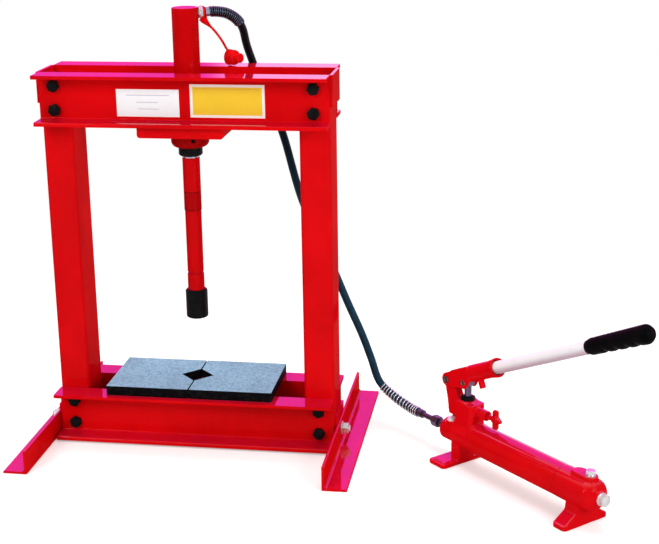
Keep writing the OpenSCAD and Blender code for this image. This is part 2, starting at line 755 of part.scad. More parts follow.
rear_foot_from = tube_end + 27;
rear_foot_to = rear_foot_from + 34;
neck_s = tube_end + 67;
pad_l = 28;
neck_top = reservoir_z + cap_d / 2 + 5;
module reservoir_cap() color(red) in_pump() difference() {
    union() {
        translate([tube_end, 0, reservoir_z]) rotate([0, 90, 0]) rotate_extrude() union() {
            square([cap_d / 2, cap_end - tube_end - cap_round]);
            intersection() {
                translate([cap_d / 2 - cap_round, cap_end - tube_end - cap_round])
                    circle(cap_round);
                square([cap_d, cap_end - tube_end]);
            }
            square([cap_d / 2 - cap_round, cap_end - tube_end]);
        }
        translate([0, 0, reservoir_z]) along_x(cap_end - 4, cap_end + 3, 14);
        pump_foot(rear_foot_w, rear_foot_from, rear_foot_to);
        translate([rear_foot_from + 1, 0, 0]) rotate([90, 0, 90])
            linear_extrude(rear_foot_to - rear_foot_from - 2)
                polygon([for (p = [[-52, pump_foot_t - 2], [52, pump_foot_t - 2],
                    [52, pump_foot_t], [25, 27], [22, 44], [-22, 44], [-25, 27],
                    [-52, pump_foot_t]]) p]);
        hull() for (s = [neck_s - pad_l, neck_s])
            translate([s, 0, reservoir_z]) cylinder(h = neck_top - reservoir_z, r = 14);
    }
    translate([0, 0, reservoir_z]) along_x(tube_end - 1, cap_end - 14, cap_d / 2 - 6);
    translate([0, 0, reservoir_z]) along_x(cap_end - 20, cap_end + 4, 5 + running);
    translate([neck_s, 0, reservoir_z]) cylinder(h = 60, r = 7 + running);
    translate([neck_s, 0, neck_top - 2]) cylinder(h = 3, r = 10.5);
}

module filler_plug() color(steel) in_pump() translate([neck_s, 0, neck_top - 2]) union() {
    translate([0, 0, -14]) cylinder(h = 20, r = 7);
    cylinder(h = 3, r = 9.5);
    hex_z(4.5, 12, 16);
}

end_nut_l = 12;
module tie_rod() color(steel) in_pump() translate([0, 0, reservoir_z])
    along_x(21, cap_end + end_nut_l - 4, 5);
module end_nut() color(steel) in_pump() translate([0, 0, reservoir_z]) difference() {
    union() {
        along_x(cap_end + 3, cap_end + 5.5, 12.5);
        hex_x(cap_end + 5.5 - eps, cap_end + 3 + end_nut_l, 21);
    }
    along_x(cap_end, cap_end + end_nut_l - 2.5, 5 + running);
}

module pump_gland() color(black) in_pump() translate([plunger_s, 0, head_top + 3])
    difference() {
        hex_z(0, gland_nut_h, 26);
        translate([0, 0, -1]) cylinder(h = gland_nut_h + 2, r = pump_plunger_d / 2 + running);
    }

module fulcrum_pin() color(black) in_pump() translate([fulcrum_s, 0, fulcrum_z]) union() {
    along_y(-cheek_out - seat - pin_head_t, cheek_out + seat + pin_head_t, fulcrum_d / 2);
    along_y(-cheek_out - seat - pin_head_t, -cheek_out - seat, fulcrum_d / 2 + 1.5);
    along_y(cheek_out + seat, cheek_out + seat + pin_head_t, fulcrum_d / 2 + 1.5);
}

// Plunger with a flat eye; the slot lets its pin swing with the lever
module pump_plunger() color(steel) in_pump() difference() {
    union() {
        translate([plunger_s, 0, 78]) cylinder(h = plunger_pin_z - 8 - 78, r = pump_plunger_d / 2);
        translate([plunger_s, eye_half, plunger_pin_z]) rotate([90, 0, 0])
            linear_extrude(2 * eye_half) union() {
                for (x = [-slot_throw, 0]) translate([x, 0]) circle(10.5);
                translate([-slot_throw, -10.5]) square([slot_throw, 21]);
            }
    }
    translate([plunger_s, 2 * eye_half, plunger_pin_z]) rotate([90, 0, 0])
        linear_extrude(4 * eye_half) union() {
            for (x = [-slot_throw, slot_clear])
                translate([x, 0]) circle(plunger_pin_d / 2 + slot_clear);
            translate([-slot_throw, -plunger_pin_d / 2 - slot_clear])
                square([slot_throw + slot_clear, plunger_pin_d + 2 * slot_clear]);
        }
}
module plunger_pin() color(black) in_pump() translate([plunger_s, 0, plunger_pin_z]) union() {
    along_y(-cheek_out - 1.5, cheek_out + 1.5, plunger_pin_d / 2);
    for (m = [0, 1]) mirror([0, m, 0])
        along_y(cheek_out, cheek_out + 1.5, plunger_pin_d / 2 + 1);
}

// Lever socket: two cheeks over the fulcrum lug, a bridge and a round socket
pin_d_at = lever_arm * cos(lever_rest) + pin_rise * sin(lever_rest);
pin_h_at = pin_rise * cos(lever_rest) - lever_arm * sin(lever_rest);
module cheek_profile() {
    circle(14);
    translate([pin_d_at, pin_h_at]) circle(12.5);
    polygon([[-2, 13.8], [socket_start + 6, 15.8], [socket_start + 6, -13],
        [pin_d_at + 8, pin_h_at - 9.6], [pin_d_at - 3.2, pin_h_at - 12], [-4.5, -13.2]]);
}
module lever_socket() color(red) in_lever() difference() {
    union() {
        for (m = [0, 1]) mirror([0, m, 0]) translate([0, cheek_out, 0]) rotate([90, 0, 0])
            linear_extrude(cheek_t) cheek_profile();
        translate([19, -cheek_out + 1, 2]) cube([socket_start - 14, 2 * cheek_out - 2, 13.8]);
        along_x(socket_start, socket_end, socket_d / 2);
        translate([socket_end - 22, 0, 0]) rotate([0, 90, 0])
            cylinder(h = 22, r1 = socket_d / 2, r2 = socket_d / 2 + 2.5);
        translate([84, -5, -33]) cube([10, 10, 20]);
    }
    along_x(socket_start + 4, socket_end + 1, rod_d / 2 + seat);
    translate([socket_end - 12, 0, 0]) rotate([0, 90, 0])
        cylinder(h = 12 + eps, r1 = rod_d / 2 + seat, r2 = rod_d / 2 + 2.5);
    along_y(-cheek_out - 1, cheek_out + 1, fulcrum_d / 2 + running);
    translate([pin_d_at, 0, pin_h_at])
        along_y(-cheek_out - 1, cheek_out + 1, plunger_pin_d / 2 + running);
}
module lever_rod() color(steel) in_lever() difference() {
    along_x(socket_start + 4, lever_l - 10, rod_d / 2);
    along_x(socket_start + 3, lever_l - 9, rod_d / 2 - 2.5);
}

// Grip: a round handle with four finger grooves below and round ends
grip_from = lever_l - grip_l;
grip_pitch = grip_l * 0.17;
groove_r = 12;
groove_deep = 2.6;
module lever_grip() color(black) in_lever() difference() {
    union() {
        translate([grip_from + 8, 0, 0]) rotate([0, 90, 0])
            cylinder(h = grip_l - 18, r1 = grip_d / 2 - grip_taper, r2 = grip_d / 2);
        translate([grip_from + 8, 0, 0]) rotate([0, 90, 0]) rotate_extrude() union() {
            intersection() {
                translate([grip_d / 2 - grip_taper - 8, 0]) circle(8);
                translate([0, -8]) square([grip_d, 8 + eps]);
            }
            translate([0, -8]) square([grip_d / 2 - grip_taper - 8, 8 + eps]);
        }
        translate([lever_l - 10, 0, 0]) rotate([0, 90, 0]) rotate_extrude() union() {
            intersection() {
                translate([grip_d / 2 - 10, 0]) circle(10);
                translate([0, -eps]) square([grip_d, 10 + eps]);
            }
            translate([0, -eps]) square([grip_d / 2 - 10, 10 + eps]);
        }
    }
    for (k = [0:3])
        translate([lever_l - (k + 1.1) * grip_pitch, 0,
            groove_deep - grip_d / 2 - groove_r
            + grip_taper * ((k + 1.1) * grip_pitch - 10) / (grip_l - 18)])
            along_y(-grip_d, grip_d, groove_r);
    along_x(grip_from - 1, lever_l - 9.5, rod_d / 2 + running);
}

module release_valve() color(red) in_pump() translate([0, 0, valve_z]) union() {
    along_x(28, 79, valve_bore_d / 2);
    along_x(78, 91, 7.5);
    translate([91 - eps, 0, 0]) rotate([0, 90, 0]) cylinder(h = 9, r1 = 7, r2 = 3);
    translate([80, -5.5, -15]) cube([8, 11, 30]);
    for (z = [-15, 15]) translate([0, 0, z]) along_x(80, 88, 5.5);
}

module left_post() post(-1);
module right_post() post(1);
module head_channel_front() channel(head_base, -1);
module head_channel_rear() channel(head_base, 1);
module bed_channel_front() channel(frame_lift, -1);
module bed_channel_rear() channel(frame_lift, 1);
module head_end_plate_left() end_plate(-1, frame_h - end_plate_h);
module head_end_plate_right() end_plate(1, frame_h - end_plate_h);
module base_end_plate_left() end_plate(-1, frame_lift);
module base_end_plate_right() end_plate(1, frame_lift);
module left_foot() foot(-1);
module right_foot() foot(1);
module arbor_plate_left() arbor_plate(-1);
module arbor_plate_right() arbor_plate(1);

left_post();
right_post();
head_channel_front();
head_channel_rear();
bed_channel_front();
bed_channel_rear();
head_end_plate_left();
head_end_plate_right();
base_end_plate_left();
base_end_plate_right();
left_foot();
right_foot();
beam_bolts();
beam_washers();
beam_nuts();
foot_bolts();
foot_washers();
foot_nuts();
white_label();
yellow_label();
arbor_plate_left();
arbor_plate_right();
ram_mount_plate();
ram_ring();
ring_set_screw();
ram_barrel();
ram_gland();
ram_plunger();
piston_seal();
return_spring();
upper_extension();
lower_extension();
extension_adapter();
press_head();
ram_coupler();
coupler_collar();
dust_cap();
hose_ferrule_ram();
hose_guard_ram();
hose();
hose_guard_pump();
hose_ferrule_pump();
hose_nut();
port_nipple();
pump_head();
port_plug();
reservoir_tube();
reservoir_cap();
filler_plug();
tie_rod();
end_nut();
pump_gland();
fulcrum_pin();
pump_plunger();
plunger_pin();
lever_socket();
lever_rod();
lever_grip();
release_valve();
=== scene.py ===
import json
import math

import bmesh
import bpy
from mathutils import Matrix, Vector


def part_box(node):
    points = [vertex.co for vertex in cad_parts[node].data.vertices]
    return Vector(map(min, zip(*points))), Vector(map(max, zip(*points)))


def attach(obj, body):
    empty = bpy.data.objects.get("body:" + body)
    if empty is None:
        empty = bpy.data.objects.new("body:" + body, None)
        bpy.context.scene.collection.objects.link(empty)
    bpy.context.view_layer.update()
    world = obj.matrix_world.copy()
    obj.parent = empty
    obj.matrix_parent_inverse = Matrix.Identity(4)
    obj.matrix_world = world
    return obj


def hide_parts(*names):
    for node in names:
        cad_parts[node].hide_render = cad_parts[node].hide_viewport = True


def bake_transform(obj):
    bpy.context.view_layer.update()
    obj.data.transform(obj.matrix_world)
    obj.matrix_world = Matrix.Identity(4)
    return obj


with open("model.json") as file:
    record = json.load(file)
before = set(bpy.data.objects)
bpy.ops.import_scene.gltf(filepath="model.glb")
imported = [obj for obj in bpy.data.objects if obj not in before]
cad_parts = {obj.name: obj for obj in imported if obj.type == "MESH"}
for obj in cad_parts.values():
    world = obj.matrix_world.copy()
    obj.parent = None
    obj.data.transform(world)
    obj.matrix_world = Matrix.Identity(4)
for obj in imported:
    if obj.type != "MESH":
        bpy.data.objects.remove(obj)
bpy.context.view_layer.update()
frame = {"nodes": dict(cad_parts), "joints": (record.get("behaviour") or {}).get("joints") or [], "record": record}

scene = bpy.context.scene
slots = {s["node"]: s["material_slot"] for s in frame["record"]["subparts"]}
MM = 0.001


# ---------------------------------------------------------------- camera

def aim_camera():
    """The camera stands in front of the press, to its right, and looks down on it."""
    place = (0.7109, -2.7326, 1.2117)
    yaw, pitch, roll = 0.1621, 0.2904, -0.016
    ahead = Vector((-math.sin(yaw) * math.cos(pitch), math.cos(yaw) * math.cos(pitch),
                    -math.sin(pitch)))
    level = Vector((math.cos(yaw), math.sin(yaw), 0))
    above = level.cross(ahead)
    right = level * math.cos(roll) + above * math.sin(roll)
    up = above * math.cos(roll) - level * math.sin(roll)
    data = bpy.data.cameras.new("camera")
    data.sensor_width = 36
    data.lens = 78.38
    data.shift_x = 0.0101
    data.shift_y = -0.017
    data.clip_end = 50
    camera = bpy.data.objects.new("camera", data)
    turn = Matrix((right, up, -ahead)).transposed().to_4x4()
    camera.matrix_world = Matrix.Translation(place) @ turn
    scene.collection.objects.link(camera)
    scene.camera = camera


aim_camera()


# ---------------------------------------------------------------- shape tools

FINE_STEPS = 2000


class Way:
    """A smooth line through knots, with a steady side direction all along it."""

    def __init__(self, knots):
        self.knots = knots
        self.last = len(knots) - 3

    def _four(self, s):
        i = min(int(s), self.last - 1)
        return self.knots[i:i + 4], s - i

    def at(self, s):
        (a, b, c, d), t = self._four(s)
        return 0.5 * (2 * b + (c - a) * t + (2 * a - 5 * b + 4 * c - d) * t * t
                      + (3 * b - a - 3 * c + d) * t * t * t)

    def heading(self, s):
        (a, b, c, d), t = self._four(s)
        return ((c - a) + 2 * (2 * a - 5 * b + 4 * c - d) * t
                + 3 * (3 * b - a - 3 * c + d) * t * t).normalized()

    def sides(self, s):
        ahead = self.heading(s)
        u = ahead.cross(Vector((0, 1, 0))).normalized()
        return u, ahead.cross(u)

    def evenly(self, start, end, step):
        """Line parameters from start to end, about step metres apart, and its length."""
        fine = [start + (end - start) * k / FINE_STEPS for k in range(FINE_STEPS + 1)]
        points = [self.at(s) for s in fine]
        lengths = [0.0]
        for p, q in zip(points, points[1:]):
            lengths.append(lengths[-1] + (q - p).length)
        total = lengths[-1]
        count = max(2, round(total / step))
        marks, j = [start], 0
        for k in range(1, count):
            want = total * k / count
            while lengths[j + 1] < want:
                j += 1
            f = (want - lengths[j]) / (lengths[j + 1] - lengths[j])
            marks.append(fine[j] + f * (fine[j + 1] - fine[j]))
        return marks + [end], total


def mesh_piece(name, points, faces, uv=None):
    """A smooth-shaded mesh; uv gives each point's place in a pattern."""
    mesh = bpy.data.meshes.new(name)
    mesh.from_pydata([tuple(p) for p in points], [], faces)
    mesh.validate()
    if uv:
        layer = mesh.uv_layers.new(name="UVMap")
        for loop in mesh.loops:
            layer.data[loop.index].uv = uv[loop.vertex_index]
    mesh.polygons.foreach_set("use_smooth", [True] * len(mesh.polygons))
    piece = bpy.data.objects.new(name, mesh)
    scene.collection.objects.link(piece)
    return piece


class Lump:
    """Points and faces of one piece, gathered from its turned, threaded, six-sided and
    tube-shaped parts. A ring is (first point, number of points)."""

    def __init__(self):
        self.points = []
        self.faces = []

    def ring(self, base, way, along, radii, turn=0.0):
        """One closed ring of points; along and radii are numbers or lists."""
        u = Vector((0, 0, 1)) if abs(way.z) < 0.9 else Vector((1, 0, 0))
        u = (u - u.dot(way) * way).normalized()
        v = way.cross(u)
        first = len(self.points)
        count = len(radii)
        for k in range(count):
            a = 2 * math.pi * k / count + turn
            rise = along[k] if isinstance(along, list) else along
            self.points.append(base + way * rise + radii[k] * (math.cos(a) * u
                                                               + math.sin(a) * v))
        return first, count

    def loop(self, points):
        """One closed ring of given points."""
        first = len(self.points)
        self.points.extend(points)
        return first, len(self.points) - first

    def join(self, low, high):
        first, count = low
        for k in range(count):
            m = (k + 1) % count
            self.faces.append((first + k, first + m, high[0] + m, high[0] + k))

    def skin(self, rings):
        for low, high in zip(rings, rings[1:]):
            self.join(low, high)

    def close(self, ring, facing_back=False):
        face = tuple(range(ring[0], ring[0] + ring[1]))
        self.faces.append(face[::-1] if facing_back else face)

    def close_both(self, rings):
        self.close(rings[0], True)
        self.close(rings[-1])

    def tube(self, line, sides):
        """A closed tube. The line gives each centre with two directions across it and
        the reach along each."""
        angles = [2 * math.pi * k / sides for k in range(sides)]
        rings = []
        for centre, (u, wide), (v, deep) in line:
            rings.append(self.loop([
                centre + math.cos(a) * wide * u + math.sin(a) * deep * v for a in angles]))
        self.skin(rings)
        self.close_both(rings)

    def turned(self, base, way, profile, sides=40, hollow=False):
        """A turned part: the profile gives (distance along, radius) from base."""
        base, way = Vector(base), Vector(way).normalized()
        rings = [self.ring(base, way, d, [r] * sides) for d, r in profile]
        self.skin(rings)
        if hollow:
            self.join(rings[-1], rings[0])
        else:
            self.close_both(rings)

    def six_sided(self, base, way, flats, height, bore=0.0, turn=0.0, both=False):
        """A head or nut with six flats and turned chamfers."""
        base, way = Vector(base), Vector(way).normalized()
        count, bevel = 72, 0.0006
        reach = []
        for k in range(count):
            a = math.degrees(2 * math.pi * k / count) % 60 - 30
            reach.append(flats / 2 / math.cos(math.radians(a)))
        crown = flats / 2 * 0.96
        drop = [(r - crown) * 0.5 for r in reach]
        rings = []
        if both:
            rings.append(self.ring(base, way, 0.0, [crown] * count, turn))
            rings.append(self.ring(base, way, drop, reach, turn))
        else:
            rings.append(self.ring(base, way, 0.0, reach, turn))
        rings.append(self.ring(base, way, [height - d for d in drop], reach, turn))
        rings.append(self.ring(base, way, height, [crown] * count, turn))
        if bore:
            rings.append(self.ring(base, way, height, [bore + bevel] * count, turn))
            rings.append(self.ring(base, way, height - bevel, [bore] * count, turn))
            rings.append(self.ring(base, way, 0.0, [bore] * count, turn))
            self.join(rings[-1], rings[0])
        else:
            self.close_both(rings)
        self.skin(rings)

    def threaded(self, base, way, radius, pitch, length):
        """A length of screw thread with a chamfered free end."""
        base, way = Vector(base), Vector(way).normalized()
        sides, steps_a_turn, depth = 36, 8, 0.55 * pitch
        count = int(length / pitch * steps_a_turn)
        rings = []
        for j in range(count + 1):
            d = length * j / count
            most = min(radius, radius - depth * 0.8 + (length - d))
            radii = []
            for k in range(sides):
                wave = (d / pitch - k / sides) % 1.0
                radii.append(min(most, radius - depth * (1 - abs(2 * wave - 1))))
            rings.append(self.ring(base, way, d, radii))
        self.skin(rings)
        self.close_both(rings)

    def piece(self, name, node, body, material=None, crease=35):
        made = mesh_piece(name, self.points, self.faces)
        made.data.set_sharp_from_angle(angle=math.radians(crease))
        return stand_in(made, node, body, material)


def paint(piece, material):
    piece.data.materials.clear()
    piece.data.materials.append(material)


def stand_in(piece, node, body, material=None):
    """This piece stands for a CAD node and rides on its body."""
    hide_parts(node)
    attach(piece, body)
    if material:
        paint(piece, material)
    return piece


def separate_parts(node):
    """The lowest and highest corners of each separate part of a node."""
    bm = bmesh.new()
    bm.from_mesh(frame["nodes"][node].data)
    bmesh.ops.remove_doubles(bm, verts=bm.verts, dist=1e-5)
    left, parts = set(bm.verts), []
    while left:
        group, edge = [], [left.pop()]
        while edge:
            v = edge.pop()
            group.append(v.co.copy())
            for e in v.link_edges:
                w = e.other_vert(v)
                if w in left:
                    left.remove(w)
                    edge.append(w)
        parts.append((Vector([min(p[i] for p in group) for i in range(3)]),
                      Vector([max(p[i] for p in group) for i in range(3)])))
    bm.free()
    return sorted(parts, key=lambda part: tuple(round(c, 4) for c in part[0]))


# ---------------------------------------------------------------- hose

def heading_of(turn):
    return Vector((math.cos(math.radians(turn)), math.sin(math.radians(turn)), 0))


PORT_TURN, PUMP_TURN, LEVER_RISE, CAP_TURN = 24, -46, 25, -28
PORT = heading_of(PORT_TURN)
PUMP = heading_of(PUMP_TURN)
PUMP_AT = Vector((0.563, -0.091, 0))
HOSE_START = Vector((0, 0, 0.879)) + 0.048 * PORT
HOSE_END = PUMP_AT + Vector((0, 0, 0.058)) - 0.150 * PUMP
HOSE_WAY = [(73, 35, 875), (90, 50, 862), (99, 67, 841), (102, 88, 805), (110, 105, 767),
            (125, 113, 718), (163, 123, 623), (203, 117, 481), (254, 115, 365),
            (297, 110, 263), (327, 107, 195), (347, 104, 142), (366, 93, 94), (399, 74, 69)]
HOSE_R = 0.008
GUARD_R, GUARD_WIRE = 0.0096, 0.0013
HOSE_KNOTS = ([HOSE_START - 0.010 * PORT, HOSE_START, HOSE_START + 0.010 * PORT]
              + [Vector(p) * MM for p in HOSE_WAY]
              + [HOSE_END - 0.026 * PUMP, HOSE_END, HOSE_END + 0.026 * PUMP])
hose_way = Way(HOSE_KNOTS)


def make_hose():
    """The hose; its UV runs in metres along it and once round it, with a seam."""
    marks, total = hose_way.evenly(0, hose_way.last, 0.004)
    sides = 24
    row = sides + 1
    centres = [hose_way.at(s) for s in marks]
    points, faces, uv = [], [], []
    for j, (c, s) in enumerate(zip(centres, marks)):
        u, v = hose_way.sides(s)
        for k in range(row):
            a = 2 * math.pi * k / sides
            points.append(c + HOSE_R * (math.cos(a) * u + math.sin(a) * v))
            uv.append((total * j / (len(centres) - 1), k / sides))
    for j in range(len(centres) - 1):
        for k in range(sides):
            faces.append((j * row + k, j * row + k + 1, (j + 1) * row + k + 1,
                          (j + 1) * row + k))
    faces.append(tuple(range(sides))[::-1])
    last = (len(centres) - 1) * row
    faces.append(tuple(last + k for k in range(sides)))
    hose = mesh_piece("hose_tube", points, faces, uv)
    stand_in(hose, "hose", "frame")
    return hose, [tuple(c) for c in centres], total


def coil(name, start, end, pitch, node):
    """A coiled wire round the hose, closer wound at its ends, which are closed flat."""
    marks, total = hose_way.evenly(start, end, 0.002)
    turns = total / pitch
    steps = round(turns * 28)

    def on_coil(f):
        x = f * (len(marks) - 1)
        i = min(int(x), len(marks) - 2)
        s = marks[i] + (x - i) * (marks[i + 1] - marks[i])
        squeeze = f + 0.35 / turns * math.sin(2 * math.pi * f)
        u, v = hose_way.sides(s)
        a = 2 * math.pi * turns * squeeze
        return hose_way.at(s) + GUARD_R * (math.cos(a) * u + math.sin(a) * v), s

    places = [on_coil(j / steps) for j in range(steps + 1)]
    line = []
    for j, (p, s) in enumerate(places):
        ahead = (places[min(j + 1, steps)][0] - places[max(j - 1, 0)][0]).normalized()
        out = (p - hose_way.at(s)).normalized()
        line.append((p, (out, GUARD_WIRE), (ahead.cross(out).normalized(), GUARD_WIRE)))
    wire = Lump()
    wire.tube(line, 8)
    return stand_in(mesh_piece(name, wire.points, wire.faces), node, "frame")


def make_hose_nut():
    """The nut behind the pump's nipple, chamfered at both ends."""
    low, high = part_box("hose_nut")
    flats, length = 0.0205, 0.018
    nut = Lump()
    nut.six_sided((low + high) / 2 - PUMP * length / 2, PUMP, flats, length, bore=0.0031,
                  turn=0.4, both=True)
    return nut.piece("hose_nut_turned", "hose_nut", "frame")


hose, hose_line, hose_length = make_hose()
ram_coil = coil("ram_guard_coil", 0.1, 3.5, 0.0040, "hose_guard_ram")
pump_coil = coil("pump_guard_coil", 14.3, hose_way.last - 0.08, 0.0085, "hose_guard_pump")
hose_nut = make_hose_nut()


# ---------------------------------------------------------------- finishes

class Wire:
    """A node's output that takes part in sums; every operation adds its Math node."""

    def __init__(self, finish, socket):
        self.finish = finish
        self.socket = socket

    def _math(self, operation, first, second):
        return self.finish.node("ShaderNodeMath", {"operation": operation},
                                {0: first, 1: second})

    def __add__(self, other):
        return self._math("ADD", self, other)

    def __radd__(self, other):
        return self._math("ADD", other, self)

    def __sub__(self, other):
        return self._math("SUBTRACT", self, other)

    def __rsub__(self, other):
        return self._math("SUBTRACT", other, self)

    def __mul__(self, other):
        return self._math("MULTIPLY", self, other)

    def __rmul__(self, other):
        return self._math("MULTIPLY", other, self)


class Finish:
    """The nodes of one material, or of the world, and the methods they are written with."""

    def __init__(self, holder):
        holder.use_nodes = True
        self.holder = holder
        self.tree = holder.node_tree
        self.tree.nodes.clear()

    def node(self, kind, settings=None, inputs=None, output=0):
        made = self.tree.nodes.new(kind)
        for key, value in (settings or {}).items():
            setattr(made, key, value)
        for key, value in (inputs or {}).items():
            socket = made.inputs[key]
            if isinstance(value, Wire):
                self.tree.links.new(value.socket, socket)
            elif isinstance(value, (tuple, list)) and len(value) == 3 and len(
                    socket.default_value) == 4:
                socket.default_value = (*value, 1)
            else:
                socket.default_value = value
        return Wire(self, made.outputs[output]) if made.outputs else None

    def seen(self):
        """1 where an eye, a mirror or a glass looks, and 0 for the light on things."""
        path = [self.node("ShaderNodeLightPath", output=name) for name in (
            "Is Camera Ray", "Is Glossy Ray", "Is Transmission Ray")]
        return self.larger(self.larger(path[0], path[1]), path[2])

    def larger(self, first, second):
        return self.node("ShaderNodeMath", {"operation": "MAXIMUM"}, {0: first, 1: second})

    def sine(self, angle):
        return self.node("ShaderNodeMath", {"operation": "SINE"}, {0: angle})

    def part(self, vector, which):
        """One of a vector's three numbers: 0, 1 or 2."""
        return self.node("ShaderNodeSeparateXYZ", None, {0: vector}, output=which)

    def place(self):
        return self.node("ShaderNodeTexCoord", output="Object")

    def lay(self):
        return self.node("ShaderNodeTexCoord", output="UV")

    def noise(self, scale, detail=3, roughness=0.5, where=None):
        return self.node("ShaderNodeTexNoise", None, {
            "Vector": where or self.place(), "Scale": scale, "Detail": detail,
            "Roughness": roughness})

    def grain(self, stretch, scale, detail=2):
        """Noise drawn out along the axes by stretch."""
        drawn = self.node("ShaderNodeMapping", None, {
            "Vector": self.place(), "Scale": stretch})
        return self.noise(scale, detail, where=drawn)

    def step(self, value, low, high, to_low=0.0, to_high=1.0):
        return self.node("ShaderNodeMapRange", {"interpolation_type": "SMOOTHSTEP"}, {
            "Value": value, "From Min": low, "From Max": high,
            "To Min": to_low, "To Max": to_high})

    def blend(self, amount, first, second):
        return self.node("ShaderNodeMix", {"data_type": "RGBA"}, {
            0: amount, 6: first, 7: second}, output=2)

    def axis(self, which):
        return self.part(self.place(), which)

    def facing(self, which):
        return self.part(self.node("ShaderNodeNewGeometry", output="Normal"), which)

    def within(self, value, low, high):
        """1 between low and high, with a soft edge."""
        soft = 0.0003
        return (self.step(value, low - soft, low + soft)
                * self.step(value, high - soft, high + soft, 1, 0))

    def rounded(self, radius):
        """The surface direction with its edges softened."""
        return self.node("ShaderNodeBevel", {"samples": 6}, {"Radius": radius})

    def edges(self, radius, softness=0.25):
        """1 along edges and 0 on open faces."""
        soft = self.rounded(radius)
        true = self.node("ShaderNodeNewGeometry", output="Normal")
        match = self.node("ShaderNodeVectorMath", {"operation": "DOT_PRODUCT"},
                          {0: soft, 1: true}, output="Value")
        return self.step(1 - match, 0.01, softness)

    def bump(self, height, depth, normal=None):
        inputs = {"Height": height, "Distance": depth}
        if normal is not None:
            inputs["Normal"] = normal
        return self.node("ShaderNodeBump", None, inputs)

    def surface(self, **sockets):
        names = {k.replace("_", " "): v for k, v in sockets.items()}
        shader = self.node("ShaderNodeBsdfPrincipled", None, names)
        self.node("ShaderNodeOutputMaterial", None, {"Surface": shader})
        return self.holder


def finish_of(name):
    return Finish(bpy.data.materials.new(name))


# magenta of a painted sheen, with dust-like flecks, on paint that faces up
DUST_AND_SHEEN = (0.98, 0.07, 0.72)
BAND_TONE, BAND_LINE, BAND_LINE_HALF = (0.1, 0.0005, 0.001), (0.08, 0.0005, 0.001), 0.0012
WORN_RED = (0.16, 0.035, 0.03)


def enamel(name, tone=(0.68, 0.002, 0.004), edge=0.0009, rough=0.2, coarse=False, band=None):
    """Red paint: orange peel, thin wear along the edges, and gloss with a little dust and a
    painted magenta sheen on faces that look up. coarse adds the lumps of a casting.

    band gives the heights between which the paint is darker, with a thin line at each."""
    f = finish_of(name)
    patches = f.noise(7, 4)
    deep = tuple(c * 0.82 for c in tone)
    colour = f.blend(f.step(patches, 0.35, 0.7), tone, deep)
    top = f.step(f.facing(2), 0.6, 1.0)
    # painted sheen: up-facing paint is blended towards magenta in flecks, a painted reflection with a little dust
    dust = top * (0.02 + 0.03 * f.step(f.noise(60, 5), 0.4, 0.8))
    colour = f.blend(dust, colour, DUST_AND_SHEEN)
    if band:
        low, high = band
        colour = f.blend(0.3 * f.within(f.axis(2), low, high), colour, BAND_TONE)
        for z in band:
            line = f.within(f.axis(2), z - BAND_LINE_HALF, z + BAND_LINE_HALF)
            colour = f.blend(0.6 * line, colour, BAND_LINE)
    worn = f.edges(0.0011, 0.4) * f.step(f.noise(220, 4, 0.7), 0.62, 0.7)
    colour = f.blend(worn * 0.75, colour, WORN_RED)
    bumps = f.bump(f.noise(650, 2), 0.00012, f.rounded(edge))
    if coarse:
        bumps = f.bump(f.noise(190, 3), 0.00022, bumps)
    return f.surface(Base_Color=colour, Roughness=rough + 0.1 * patches + 0.3 * worn,
                     Normal=bumps, Specular_IOR_Level=0.0, Coat_Weight=0.03 + 0.95 * top,
                     Coat_Roughness=0.05, Coat_IOR=1.8)


def black_steel(name, tone=0.004, rough=0.34):
    """Blacked steel with a faint rub on its edges."""
    f = finish_of(name)
    mottle = f.noise(90, 4)
    rub = f.edges(0.0009, 0.35) * f.step(f.noise(260, 3), 0.45, 0.7)
    colour = f.blend(f.step(mottle, 0.35, 0.7), (tone, tone, tone * 1.15),
                     (tone * 1.9, tone * 1.9, tone * 2.1))
    colour = f.blend(rub * 0.35, colour, (0.12, 0.12, 0.13))
    return f.surface(Base_Color=colour, Specular_IOR_Level=0.05, Roughness=rough + 0.15 * mottle,
                     Normal=f.bump(f.noise(1400, 2), 0.00004, f.rounded(0.0006)))


def zinc(name, tone=(0.8, 0.8, 0.82), rough=0.24, stretch=(1, 1, 1), metal=0.75, fade=0.8,
         under=None, rim=None):
    """Zinc plate or bare steel with faint turning marks; under is a painted shade on its lower
    side, and rim a painted highlight along its edges."""
    f = finish_of(name)
    cloud = f.noise(45, 4)
    lines = f.grain(stretch, 1500, 2)
    colour = f.blend(f.step(cloud, 0.3, 0.75), tone, tuple(c * fade for c in tone))
    # under: painted shade, faces that look down take the darker tone
    if under:
        colour = f.blend(f.step(f.facing(2), -0.7, 0.3), under, colour)
    # rim: a painted highlight, pale along the edges
    if rim:
        colour = f.blend(f.edges(0.0012, 0.3), colour, rim)
    dull = f.edges(0.0008, 0.3) * f.step(f.noise(300, 3), 0.5, 0.7)
    return f.surface(Base_Color=f.blend(dull * 0.3, colour, (0.42, 0.41, 0.4)), Metallic=metal,
                     Roughness=rough + 0.12 * cloud,
                     Normal=f.bump(lines, 0.00002, f.rounded(0.0005)))


def chrome():
    """Polished chrome with a faint haze and drawn-out polishing marks."""
    f = finish_of("polished_chrome")
    haze = f.noise(120, 3)
    return f.surface(Base_Color=f.blend(haze, (0.5, 0.46, 0.52), (0.42, 0.38, 0.44)),
                     Metallic=1.0, Roughness=0.07 + 0.06 * haze,
                     Normal=f.bump(f.grain((1, 1, 40), 500), 0.000006, f.rounded(0.0004)))


